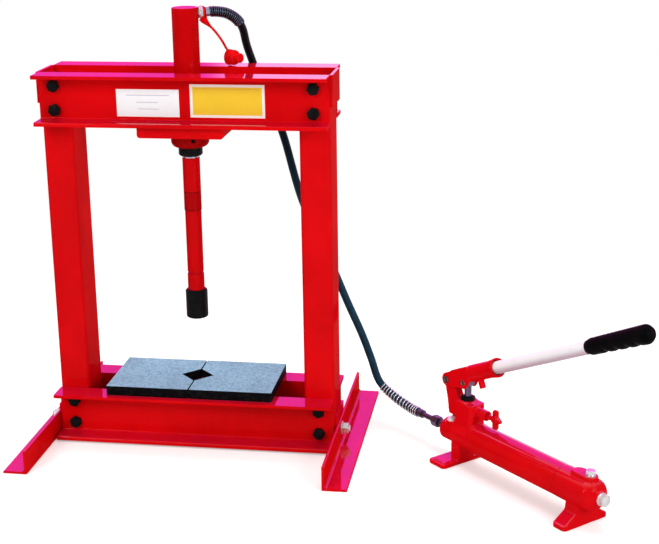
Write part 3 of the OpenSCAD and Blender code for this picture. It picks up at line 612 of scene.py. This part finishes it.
def ground_plate():
    """Ground steel plate: pale speckled grain above, black scale on the flame-cut edges."""
    f = finish_of("ground_plate")
    speck = f.noise(900, 5, 0.7)
    cloud = f.noise(14, 4)
    scratch = f.step(f.grain((3, 60, 1), 30, 4), 0.56, 0.7)
    top = f.blend(f.step(speck, 0.3, 0.7), (0.2, 0.36, 0.5), (0.42, 0.7, 0.9))
    top = f.blend(f.step(f.noise(190, 4, 0.8), 0.46, 0.6) * 0.6, top, (0.11, 0.21, 0.32))
    top = f.blend(f.step(cloud, 0.4, 0.75) * 0.3, top, (0.12, 0.2, 0.3))
    top = f.blend(scratch * 0.18, top, (0.5, 0.64, 0.78))
    side = f.blend(f.step(f.noise(160, 4), 0.4, 0.7), (0.002, 0.002, 0.003), (0.008, 0.007, 0.008))
    flat = f.step(f.facing(2), 0.3, 0.7)
    # pale patches along the edges of the sides: partly wear, partly a painted highlight where the edges catch
    # light
    rim = f.edges(0.0012, 0.4) * (1 - flat)
    side = f.blend(rim * f.step(f.noise(300, 3), 0.4, 0.7) * 0.5, side, (0.3, 0.34, 0.38))
    return f.surface(Base_Color=f.blend(flat, side, top), Specular_IOR_Level=0.03,
                     Roughness=0.62 - 0.16 * flat + 0.2 * (speck - 0.5),
                     Normal=f.bump(speck, 0.00006, f.bump(f.noise(70, 3), 0.00025,
                                                          f.rounded(0.0008))))


def hose_cover():
    """Black hose cover with a wrapped-cloth print and a cool sheen."""
    f = finish_of("hose_cover")
    along, around = f.part(f.lay(), 0), f.part(f.lay(), 1)
    close, strands = 2600, 2 * math.pi * 8
    weave = (f.sine(along * close + around * strands)
             * f.sine(along * close - around * strands))
    dust = f.step(f.noise(60, 4), 0.45, 0.8)
    low = f.step(f.axis(2), 0.25, 0.78, 1, 0)
    colour = f.blend(dust * 0.5, f.blend(low, (0.0015, 0.002, 0.003), (0.006, 0.03, 0.055)),
                     f.blend(low, (0.004, 0.005, 0.008), (0.02, 0.075, 0.12)))
    return f.surface(Base_Color=colour, Roughness=0.38 + 0.15 * dust,
                     Normal=f.bump(weave, 0.0001), Specular_IOR_Level=0.12,
                     Specular_Tint=(0.5, 0.8, 1.0))


def rubber(name, tone, rough=0.42, grain_scale=900, depth=0.00007):
    """Moulded rubber: a matt bloom, a fine grain and edges rubbed a little paler."""
    f = finish_of(name)
    bloom = f.noise(40, 4)
    light = tuple(min(1, c * 1.35 + 0.001) for c in tone)
    colour = f.blend(f.step(bloom, 0.4, 0.75), tone, light)
    rub = f.edges(0.0012, 0.4) * f.step(f.noise(150, 4), 0.5, 0.7)
    colour = f.blend(rub * 0.3, colour, tuple(min(1, c * 1.6 + 0.012) for c in tone))
    return f.surface(Base_Color=colour, Roughness=rough + 0.15 * bloom,
                     Specular_IOR_Level=0.015,
                     Normal=f.bump(f.noise(grain_scale, 3), depth, f.rounded(0.001)))


def spring_wire(name, dark, light):
    """Drawn steel wire, clouded between two tones."""
    f = finish_of(name)
    cloud = f.noise(160, 3)
    return f.surface(Base_Color=f.blend(cloud, dark, light),
                     Metallic=1.0, Roughness=0.12 + 0.16 * cloud,
                     Normal=f.bump(f.noise(1200, 2), 0.00003))


def film(name, node, base, border, border_tone, bars, bar_tone):
    """Printed film: a plain field with a border and simple bars, places as shares of it."""
    f = finish_of(name)
    low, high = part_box(node)
    width, height = high.x - low.x, high.z - low.z
    x, z = f.axis(0), f.axis(2)

    def field(x0, x1, z0, z1):
        return f.within(x, x0, x1) * f.within(z, z0, z1)

    inside = field(low.x + border, high.x - border, low.z + border, high.z - border)
    haze = f.noise(35, 4)
    inner = f.blend(f.step(haze, 0.35, 0.75) * 0.5, base, tuple(c * 0.93 for c in base))
    for x0, x1, z0, z1 in bars:
        bar = field(low.x + x0 * width, low.x + x1 * width,
                    low.z + z0 * height, low.z + z1 * height)
        inner = f.blend(bar * 0.8, inner, bar_tone)
    colour = f.blend(inside, border_tone, inner)
    scuff = f.step(f.grain((30, 1, 3), 40, 3), 0.66, 0.75) * 0.15
    return f.surface(Base_Color=f.blend(scuff, colour, (0.6, 0.56, 0.5)),
                     Roughness=0.32 + 0.15 * haze,
                     Normal=f.bump(f.noise(300, 2), 0.00005))


RED = enamel("red_enamel")
CAST_RED = enamel("cast_red_enamel", tone=(0.7, 0.0022, 0.006), edge=0.0026, rough=0.22,
                  coarse=True)
RAM_TONE = (0.56, 0.0015, 0.003)
RAM_RED = enamel("ram_red_enamel", tone=RAM_TONE, edge=0.0011)
# a darker copy of the ram red for the ring: painted shade from the mount plate above it
SHADED_RING_RED = enamel("ring_red_painted_shade", tone=(0.36, 0.001, 0.002), edge=0.0011)
BANDED_RED = enamel("extension_red_enamel", tone=RAM_TONE, edge=0.0011, band=(0.486, 0.523))
BLACK = black_steel("black_steel")
HEAD_BLACK = black_steel("press_head_black", 0.003, 0.3)
ZINC = zinc("zinc_plate", (0.74, 0.71, 0.73), 0.22, metal=0.8, fade=0.7)
WHITE_ZINC = zinc("white_zinc", (0.92, 0.92, 0.93), 0.35, metal=0.4)
# the lever rod: white above, with a painted mauve shade on its lower side
ROD_ZINC = zinc("lever_rod_zinc", (0.95, 0.95, 0.96), 0.42, (1, 1, 30), 0.15, 0.95,
                under=(0.5, 0.38, 0.45))
PLUNGER_STEEL = zinc("plunger_steel", (0.15, 0.11, 0.19), 0.18, (1, 1, 40), 1.0)
FERRULE = zinc("blue_passivated", (0.36, 0.41, 0.52), 0.26, metal=1.0)
DARK_ZINC = zinc("dark_passivated", (0.12, 0.1, 0.17), 0.28, metal=1.0)
CHROME = chrome()
# dark pin steel with a painted pale highlight round the rims of its heads
PIN_STEEL = zinc("pin_steel", (0.1, 0.085, 0.09), 0.3, metal=1.0, rim=(0.9, 0.89, 0.91))
PLATE = ground_plate()
HOSE = hose_cover()
GRIP = rubber("grip_rubber", (0.0016, 0.0016, 0.002), 0.34, 700, 0.00009)
SEAL = rubber("seal_rubber", (0.01, 0.01, 0.01))
CAP = rubber("cap_rubber", (0.7, 0.004, 0.006), 0.3, 500)
WIRE_STEEL = spring_wire("spring_wire", (0.02, 0.024, 0.045), (0.14, 0.16, 0.22))
BRIGHT_WIRE = spring_wire("bright_spring_wire", (0.55, 0.55, 0.6), (0.85, 0.85, 0.88))
WHITE = film("white_film", "white_label", (0.88, 0.95, 0.97), 0.0016, (0.93, 0.93, 0.95),
             [(0.16, 0.85, 0.765, 0.8), (0.32, 0.66, 0.51, 0.545), (0.35, 0.68, 0.27, 0.3)],
             (0.5, 0.5, 0.62))
YELLOW = film("yellow_film", "yellow_label", (0.86, 0.58, 0.009), 0.0052, (0.92, 0.9, 0.86),
              [(0.08, 0.92, 0.86, 0.875)], (0.62, 0.33, 0.03))

CASTINGS = ("pump_head", "reservoir_cap", "lever_socket", "release_valve")
SPECIAL = {"pump_plunger": PLUNGER_STEEL, "press_head": HEAD_BLACK, "lever_rod": ROD_ZINC,
           "hose_ferrule_ram": FERRULE, "hose_ferrule_pump": DARK_ZINC,
           "port_nipple": DARK_ZINC, "ram_barrel": RAM_RED, "ram_ring": SHADED_RING_RED,
           "upper_extension": BANDED_RED, "lower_extension": RAM_RED,
           "extension_adapter": RAM_RED}
BY_SLOT = {"red_enamel": RED, "black_steel": BLACK, "zinc_plate": ZINC, "chrome": CHROME,
           "ground_steel": PLATE, "hose_rubber": HOSE, "seal_rubber": SEAL,
           "grip_rubber": GRIP, "red_rubber": CAP, "white_film": WHITE,
           "yellow_film": YELLOW, "spring_steel": WIRE_STEEL}


for node, piece in frame["nodes"].items():
    if node in SPECIAL:
        paint(piece, SPECIAL[node])
    elif node in CASTINGS:
        paint(piece, CAST_RED)
    else:
        paint(piece, BY_SLOT[slots[node]])
paint(hose, HOSE)
paint(ram_coil, WIRE_STEEL)
paint(pump_coil, BRIGHT_WIRE)
paint(hose_nut, DARK_ZINC)


# ---------------------------------------------------------------- small pieces

def lever_matrix():
    """The lever's own frame: X runs from the fulcrum along the rod."""
    hinge = next(j for j in frame["joints"] if j["name"] == "lever_hinge")
    return (Matrix.Translation(hinge["pos_m"]) @ Matrix.Rotation(math.radians(PUMP_TURN), 4, "Z")
            @ Matrix.Rotation(math.radians(-LEVER_RISE), 4, "Y"))


def make_grip():
    """The moulded grip: round above, four soft finger grooves below, full round ends."""
    start, end, bore = 0.4095, 0.5625, 0.01258
    slim, flare = 0.0153, 0.0024
    front_l, front_drop, tail_l, tail_drop = 0.011, 0.0085, 0.010, 0.0095
    pitch, groove_depth, least_wall, mouth_depth = 0.17 * 0.154, 0.0032, 0.0004, 0.006
    rings, sides = 120, 48
    angles = [2 * math.pi * k / sides for k in range(sides)]

    def rounding(share):
        """The fall of a quarter round: 1 at its tip, 0 where it ends."""
        return 1 - math.sqrt(max(0, 1 - (1 - min(1.0, share)) ** 2))

    sleeve = Lump()
    made = []
    for j in range(rings + 1):
        f = j / rings
        d = start + (end - start) * f
        r = slim + flare * f
        r -= front_drop * rounding((d - start) / front_l)
        r -= tail_drop * rounding((end - d) / tail_l)
        place = (end - d) / pitch
        near = min(abs(place - (k + 1.1)) for k in range(4))
        groove = groove_depth * math.exp(-(near / 0.2) ** 2)
        ring = []
        for a in angles:
            under = max(0.0, -math.sin(a)) ** 1.6
            rr = max(bore + least_wall, r - groove * under)
            ring.append((d, rr * math.cos(a), rr * math.sin(a)))
        made.append(sleeve.loop(ring))
    sleeve.skin(made)
    tip = sleeve.loop([(end, 0, 0)])[0]
    last = made[-1][0]
    for k in range(sides):
        sleeve.faces.append((last + k, last + (k + 1) % sides, tip))
    # the mouth turns in round the rod, and its inner end stays open
    lip, inner = (sleeve.loop([(d, bore * math.cos(a), bore * math.sin(a)) for a in angles])[0]
                  for d in (start, start + mouth_depth))
    for k in range(sides):
        m = (k + 1) % sides
        for one, two in ((0, lip), (lip, inner)):
            sleeve.faces.append((one + k, two + k, two + m, one + m))
    turn = lever_matrix()
    grip = mesh_piece("grip_sleeve", [turn @ Vector(p) for p in sleeve.points],
                      [face[::-1] for face in sleeve.faces])
    stand_in(grip, "lever_grip", "lever", GRIP)


make_grip()


SHANK_R, ROOT_R, THREAD_PITCH = 0.0069, 0.0058, 0.002
HEAD_H, NUT_BORE = 0.009, 0.00705
UP, BACK = Vector((0, 0, 1)), Vector((0, 1, 0))


def lower_end(low, high, axis):
    """The middle of a box's lower end along an axis, and its length along it."""
    base = (low + high) / 2
    base[axis] = low[axis]
    return base, high[axis] - low[axis]


def bolt(lump, seat, way, length, flats, thread, lap, turn):
    """A head on its seat, a plain shank that laps into the head, and a threaded end."""
    lump.six_sided(seat, -way, flats, HEAD_H, turn=turn)
    lump.turned(seat, way, [(-lap, SHANK_R), (length - thread, SHANK_R),
                            (length - thread + 0.0001, ROOT_R)])
    lump.threaded(seat + way * (length - thread), way, SHANK_R, THREAD_PITCH, thread)


def nuts_and_washers(kind, axis, flats, turns, names, material):
    """The nuts and washers of one set of bolts, which lie along one axis."""
    way = Vector([float(i == axis) for i in range(3)])
    nuts, rings = Lump(), Lump()
    for (low, high), turn in zip(separate_parts(kind + "_nuts"), turns):
        base, thick = lower_end(low, high, axis)
        nuts.six_sided(base, way, flats, thick, bore=NUT_BORE, turn=turn, both=True)
    nuts.piece(names[0], kind + "_nuts", "frame", material)
    other = (axis + 2) % 3
    for low, high in separate_parts(kind + "_washers"):
        base, thick = lower_end(low, high, axis)
        wide = (high[other] - low[other]) / 2
        rings.turned(base, way, [
            (0.0003, 0.0073), (0, 0.0076), (0, wide - 0.0004), (0.0004, wide),
            (thick - 0.0004, wide), (thick, wide - 0.0005), (thick, 0.0076),
            (thick - 0.0003, 0.0073)], hollow=True)
    rings.piece(names[1], kind + "_washers", "frame", material)


def fasten():
    """Frame and foot bolts: chamfered heads, threaded ends and nuts, and the frame's each
    turned a little its own way."""
    turns = [0.1, 0.42, 0.8, 0.25, 0.6, 0.95, 0.3, 0.7]
    heads = Lump()
    for (low, high), turn in zip(separate_parts("beam_bolts"), turns):
        seat = (low + high) / 2
        seat.y = low.y + HEAD_H
        bolt(heads, seat, BACK, high.y - seat.y, 0.022, 0.012, 0.001, turn)
    heads.piece("frame_bolts", "beam_bolts", "frame", BLACK)
    nuts_and_washers("beam", 1, 0.022, turns[::-1], ("frame_nuts", "frame_washers"), BLACK)

    heads = Lump()
    for low, high in separate_parts("foot_bolts"):
        seat = (low + high) / 2
        out = Vector((1 if seat.x > 0 else -1, 0, 0))
        seat.x = (low.x if out.x > 0 else high.x) + out.x * HEAD_H
        bolt(heads, seat, out, high.x - low.x - HEAD_H, 0.021, 0.016, 0.0005, 0.35)
    heads.piece("foot_bolt_set", "foot_bolts", "frame", ZINC)
    nuts_and_washers("foot", 0, 0.021, (0.2, 0.2), ("foot_nut_set", "foot_washer_set"), ZINC)


def plug_pump():
    """Plugs and nuts of the hand pump."""
    base, height = lower_end(*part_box("filler_plug"), 2)
    collar = 0.0185
    plug = Lump()
    plug.turned(base, UP, [
        (0, 0.0062), (0.0008, 0.00695), (0.014, 0.00695), (0.014, 0.0091), (0.0144, 0.0095),
        (0.0166, 0.0095), (0.017, 0.0091), (0.017, 0.0070), (collar + 0.0001, 0.0070)])
    plug.six_sided(base + UP * collar, UP, 0.016, height - collar, turn=0.3, both=True)
    plug.piece("filler_plug_turned", "filler_plug", "frame", ZINC)

    base, height = lower_end(*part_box("port_plug"), 2)
    collar = 0.0025
    plug = Lump()
    plug.turned(base, UP, [(0, 0.0091), (0.0004, 0.0095), (0.0021, 0.0095),
                           (collar, 0.0091)])
    plug.six_sided(base + UP * collar, UP, 0.014, height - collar, turn=0.5)
    plug.piece("port_plug_turned", "port_plug", "frame", WHITE_ZINC)

    low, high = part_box("end_nut")
    length, collar = 0.012, 0.0025
    start = (low + high) / 2 - PUMP * length / 2
    nut = Lump()
    nut.turned(start, PUMP, [(0, 0.0055), (0, 0.0120), (0.0004, 0.0125), (0.0021, 0.0125),
                             (collar, 0.0120), (collar, 0.0055)], hollow=True)
    nut.six_sided(start + PUMP * collar, PUMP, 0.021, length - collar, turn=0.15)
    nut.piece("end_nut_turned", "end_nut", "frame", ZINC)

    base, height = lower_end(*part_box("pump_gland"), 2)
    gland = Lump()
    gland.six_sided(base, UP, 0.026, height, bore=NUT_BORE, turn=math.radians(PUMP_TURN))
    gland.piece("pump_gland_nut", "pump_gland", "frame", BLACK)


def pin(node, name, radius, head, head_thick, body):
    """A pin across the lever, with rolled-over heads at both cheeks."""
    low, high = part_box(node)
    across = Vector((-PUMP.y, PUMP.x, 0))
    reach = 2 * head * abs(PUMP.x)
    half = (high.x - low.x - reach) / 2 / abs(across.x)
    dome = [(0.0007, 0.38), (0.0003, 0.42), (0.0, 0.62), (0.0002, 0.84), (0.0008, 1.0)]
    profile = [(d, head * share) for d, share in dome]
    profile += [(head_thick, head), (head_thick, radius)]
    profile += [(2 * half - d, r) for d, r in reversed(profile)]
    rolled = Lump()
    rolled.turned((low + high) / 2 - across * half, across, profile)
    rolled.piece(name, node, body, PIN_STEEL)


# ---------------------------------------------------------------- castings

def casting(node, name, body, material, grain_size, rounds, machined=()):
    """The cast shape of a node, with its corners rounded and its roots filled.

    machined gives (place, direction) of faces that stay flat, where a neighbour meets them."""
    flat_band = 0.0024
    raw = bpy.data.objects.new(name + "_raw", frame["nodes"][node].data.copy())
    scene.collection.objects.link(raw)
    remesh = raw.modifiers.new("skin", "REMESH")
    remesh.mode = "VOXEL"
    remesh.voxel_size = grain_size
    bpy.context.view_layer.update()
    ready = raw.evaluated_get(bpy.context.evaluated_depsgraph_get())
    mesh = bpy.data.meshes.new_from_object(ready)
    bpy.data.objects.remove(raw)
    bm = bmesh.new()
    bm.from_mesh(mesh)
    free = [v for v in bm.verts
            if all(abs((v.co - place).dot(way)) > flat_band for place, way in machined)]
    for _ in range(rounds):
        bmesh.ops.smooth_vert(bm, verts=free, factor=0.5, use_axis_x=True, use_axis_y=True,
                              use_axis_z=True)
    bm.to_mesh(mesh)
    bm.free()
    mesh.polygons.foreach_set("use_smooth", [True] * len(mesh.polygons))
    mesh.name = name
    piece = bpy.data.objects.new(name, mesh)
    scene.collection.objects.link(piece)
    return stand_in(piece, node, body, material)


def make_castings():
    """The pump's four castings; two keep a flat face where the oil tube meets them."""
    low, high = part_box("reservoir_tube")
    middle, tube_d = (low + high) / 2, 0.062
    half = (high.x - low.x - tube_d * abs(PUMP.y)) / 2 / PUMP.x
    casting("pump_head", "pump_head_casting", "frame", CAST_RED, 0.0013, 9,
            [(middle - PUMP * half, PUMP)])
    casting("reservoir_cap", "reservoir_cap_casting", "frame", CAST_RED, 0.0012, 8,
            [(middle + PUMP * half, PUMP)])
    casting("lever_socket", "lever_socket_casting", "lever", CAST_RED, 0.0010, 7)
    casting("release_valve", "release_valve_casting", "valve", CAST_RED, 0.0006, 5)


# ---------------------------------------------------------------- dust cap

CAP_RING = [(0.0004, 0.0083), (0, 0.0088), (0, 0.0114), (0.0008, 0.0120), (0.0026, 0.0120),
            (0.0034, 0.0114), (0.0034, 0.0088), (0.0030, 0.0083)]
CAP_WALL = [(0, 0.0126), (0, 0.0150), (0.0006, 0.0158), (0.0026, 0.0158), (0.0033, 0.0152),
            (0.0037, 0.0148), (0.0146, 0.0145), (0.0182, 0.0139), (0.0197, 0.0124),
            (0.0200, 0.0106), (0.0205, 0.0098), (0.0298, 0.0096), (0.0313, 0.0092),
            (0.0326, 0.0079), (0.0330, 0.0055), (0.0331, 0.0002), (0.0142, 0.0002),
            (0.0141, 0.0119), (0.0136, 0.0124)]
CAP_RIB = [(0, 0.0004), (0.0006, 0.0010), (0.0112, 0.0010), (0.0120, 0.0003)]
CAP_STRAP = [(24, 10, 880), (31.5, 14.2, 868), (34.5, 16.5, 862), (41, 22, 853.5),
             (49.5, 30, 842), (57.5, 39, 828), (63, 48, 815), (67, 55, 803.5),
             (71.5, 60.5, 794), (77, 62, 788), (82, 61, 784)]


def make_dust_cap():
    """Moulded cap on its strap: a ring round the coupler, a thin strap and a ribbed cap."""
    cap = Lump()
    port = Vector((0, 0, HOSE_START.z))
    cap.turned(port + 0.0343 * PORT, PORT, CAP_RING, sides=48, hollow=True)
    away = heading_of(CAP_TURN)
    mouth = Vector((0.079, 0.058, 0.7843)) - 0.010 * away
    cap.turned(mouth, away, CAP_WALL, sides=48, hollow=True)
    ribs = 20
    for k in range(ribs):
        a = 2 * math.pi * k / ribs
        out = Vector((-away.y * math.cos(a), away.x * math.cos(a), math.sin(a)))
        cap.turned(mouth + 0.0044 * away + 0.0142 * out, away, CAP_RIB, sides=8)
    way = Way([Vector(p) * MM for p in CAP_STRAP])
    marks = way.evenly(0, way.last, 0.0015)[0]
    line = []
    for j, s in enumerate(marks):
        f = j / (len(marks) - 1)
        across, thick = way.sides(s)
        half = 0.0025 + 0.0068 * max(0.0, 1 - f / 0.26) ** 1.3
        line.append((way.at(s), (across, half), (thick, 0.0018)))
    cap.tube(line, 12)
    cap.piece("dust_cap_moulded", "dust_cap", "frame", CAP, 50)


# ---------------------------------------------------------------- return spring

def make_spring():
    """The ram's return spring, one fixed coil in the box of the return spring's node."""
    low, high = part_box("return_spring")
    wire = 0.0012
    coil_r = high.x - wire
    turns, per_turn = 22, 20
    steps = turns * per_turn
    line = []
    for j in range(steps + 1):
        f = j / steps
        a = 2 * math.pi * j / per_turn
        eased = f + 0.5 / turns * math.sin(2 * math.pi * f) / math.pi
        out = Vector((math.cos(a), math.sin(a), 0))
        mid = coil_r * out + Vector((0, 0, low.z + wire + (high.z - low.z - 2 * wire) * eased))
        line.append((mid, (out, wire), (UP, wire)))
    spring = Lump()
    spring.tube(line, 8)
    made = mesh_piece("return_spring_coil", spring.points, spring.faces)
    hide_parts("return_spring")
    paint(made, WIRE_STEEL)
    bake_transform(made)


fasten()
plug_pump()
pin("fulcrum_pin", "fulcrum_pin_rolled", 0.0059, 0.0075, 0.0025, "frame")
pin("plunger_pin", "plunger_pin_rolled", 0.0049, 0.0060, 0.0015, "lever")
make_castings()
make_dust_cap()
make_spring()


# ---------------------------------------------------------------- room and light

WHITE_LIGHT = (1, 1, 1)


def make_floor():
    """A pale floor that fades to white round the object, so that no edge of it shows."""
    bpy.ops.mesh.primitive_plane_add(size=14, location=(0, 0, 0))
    floor = bpy.context.object
    floor.name = "floor"
    f = finish_of("pale_floor")
    away = f.node("ShaderNodeVectorMath", {"operation": "SUBTRACT"}, {
        0: f.place(), 1: (0.3, -0.1, 0)})
    out = f.node("ShaderNodeVectorMath", {"operation": "LENGTH"}, {0: away}, output="Value")
    tone = f.blend(f.noise(3, 2), (0.84, 0.84, 0.84), (0.8, 0.8, 0.8))
    matt = f.node("ShaderNodeBsdfDiffuse", None, {"Color": tone})

    def glow(strength):
        return f.node("ShaderNodeEmission", None, {"Color": WHITE_LIGHT, "Strength": strength})

    def mixed(amount, first, second):
        return f.node("ShaderNodeMixShader", None, {0: amount, 1: first, 2: second})

    near = f.node("ShaderNodeAddShader", None, {0: matt, 1: glow(0.32)})
    white = glow(1.0)
    eye = f.node("ShaderNodeLightPath", output="Is Camera Ray")
    behind = f.step(f.axis(1), 0.5, 1.8)
    far = f.step(out, 0.75, 1.9) * eye + behind * (1 - eye)
    bright = mixed(eye, mixed(behind, matt, white), mixed(far, near, white))
    shown = mixed(f.seen(), matt, bright)
    f.node("ShaderNodeOutputMaterial", None, {"Surface": shown})
    floor.data.materials.append(f.holder)


def make_world():
    """White light all round. Mirrors see a magenta card ahead with a bright window in it."""
    scene.world = bpy.data.worlds.new("studio")
    w = Finish(scene.world)
    way = w.node("ShaderNodeTexCoord", output="Generated")
    across, level, height = (w.part(way, which) for which in range(3))
    wall = w.larger(w.step(level, -0.45, 0.45), w.step(height, 0.35, 0.8))
    eye = w.node("ShaderNodeLightPath", output="Is Camera Ray")
    mirror = w.seen() * (1 - eye)
    ahead = mirror * w.step(level, 0.2, 0.7)
    window = ahead * w.step(across, -0.24, -0.21) * w.step(height, 0.2, 0.26, 1, 0)
    card = w.blend(ahead, WHITE_LIGHT, (1, 0.08, 0.8))
    card = w.blend(window, card, (1, 0.47, 0.95))
    glow = 0.65 * wall - 0.1 + 0.8 * window + 0.7 * ahead * w.step(height, 0.26, 0.4)
    sky = w.node("ShaderNodeBackground", None, {
        "Color": card, "Strength": 0.45 + 0.55 * eye + mirror * glow})
    w.node("ShaderNodeOutputWorld", None, {"Surface": sky})


def lamp(name, place, target, size, power, mirrored):
    """A round soft light; mirrored says whether glossy faces show it."""
    data = bpy.data.lights.new(name, "AREA")
    data.shape = "DISK"
    data.size = size
    data.energy = power
    obj = bpy.data.objects.new(name, data)
    obj.location = place
    obj.rotation_euler = (Vector(target) - Vector(place)).to_track_quat("-Z", "Y").to_euler()
    obj.visible_glossy = mirrored
    scene.collection.objects.link(obj)


LAMPS = (("key_light", (-1.5, -2.6, 2.2), (0.2, 0, 0.35), 1.4, 46, True),
         ("fill_light", (2.6, -1.8, 1.4), (0.2, 0, 0.4), 1.6, 40, True),
         ("top_light", (0.2, 0.5, 3.0), (0.2, 0, 0.3), 2.2, 48, False),
         ("back_light", (-0.4, 3.4, 1.5), (0.2, 0, 0.3), 2.4, 11, False))

make_floor()
make_world()
for facts in LAMPS:
    lamp(*facts)
scene.view_settings.view_transform = "Standard"
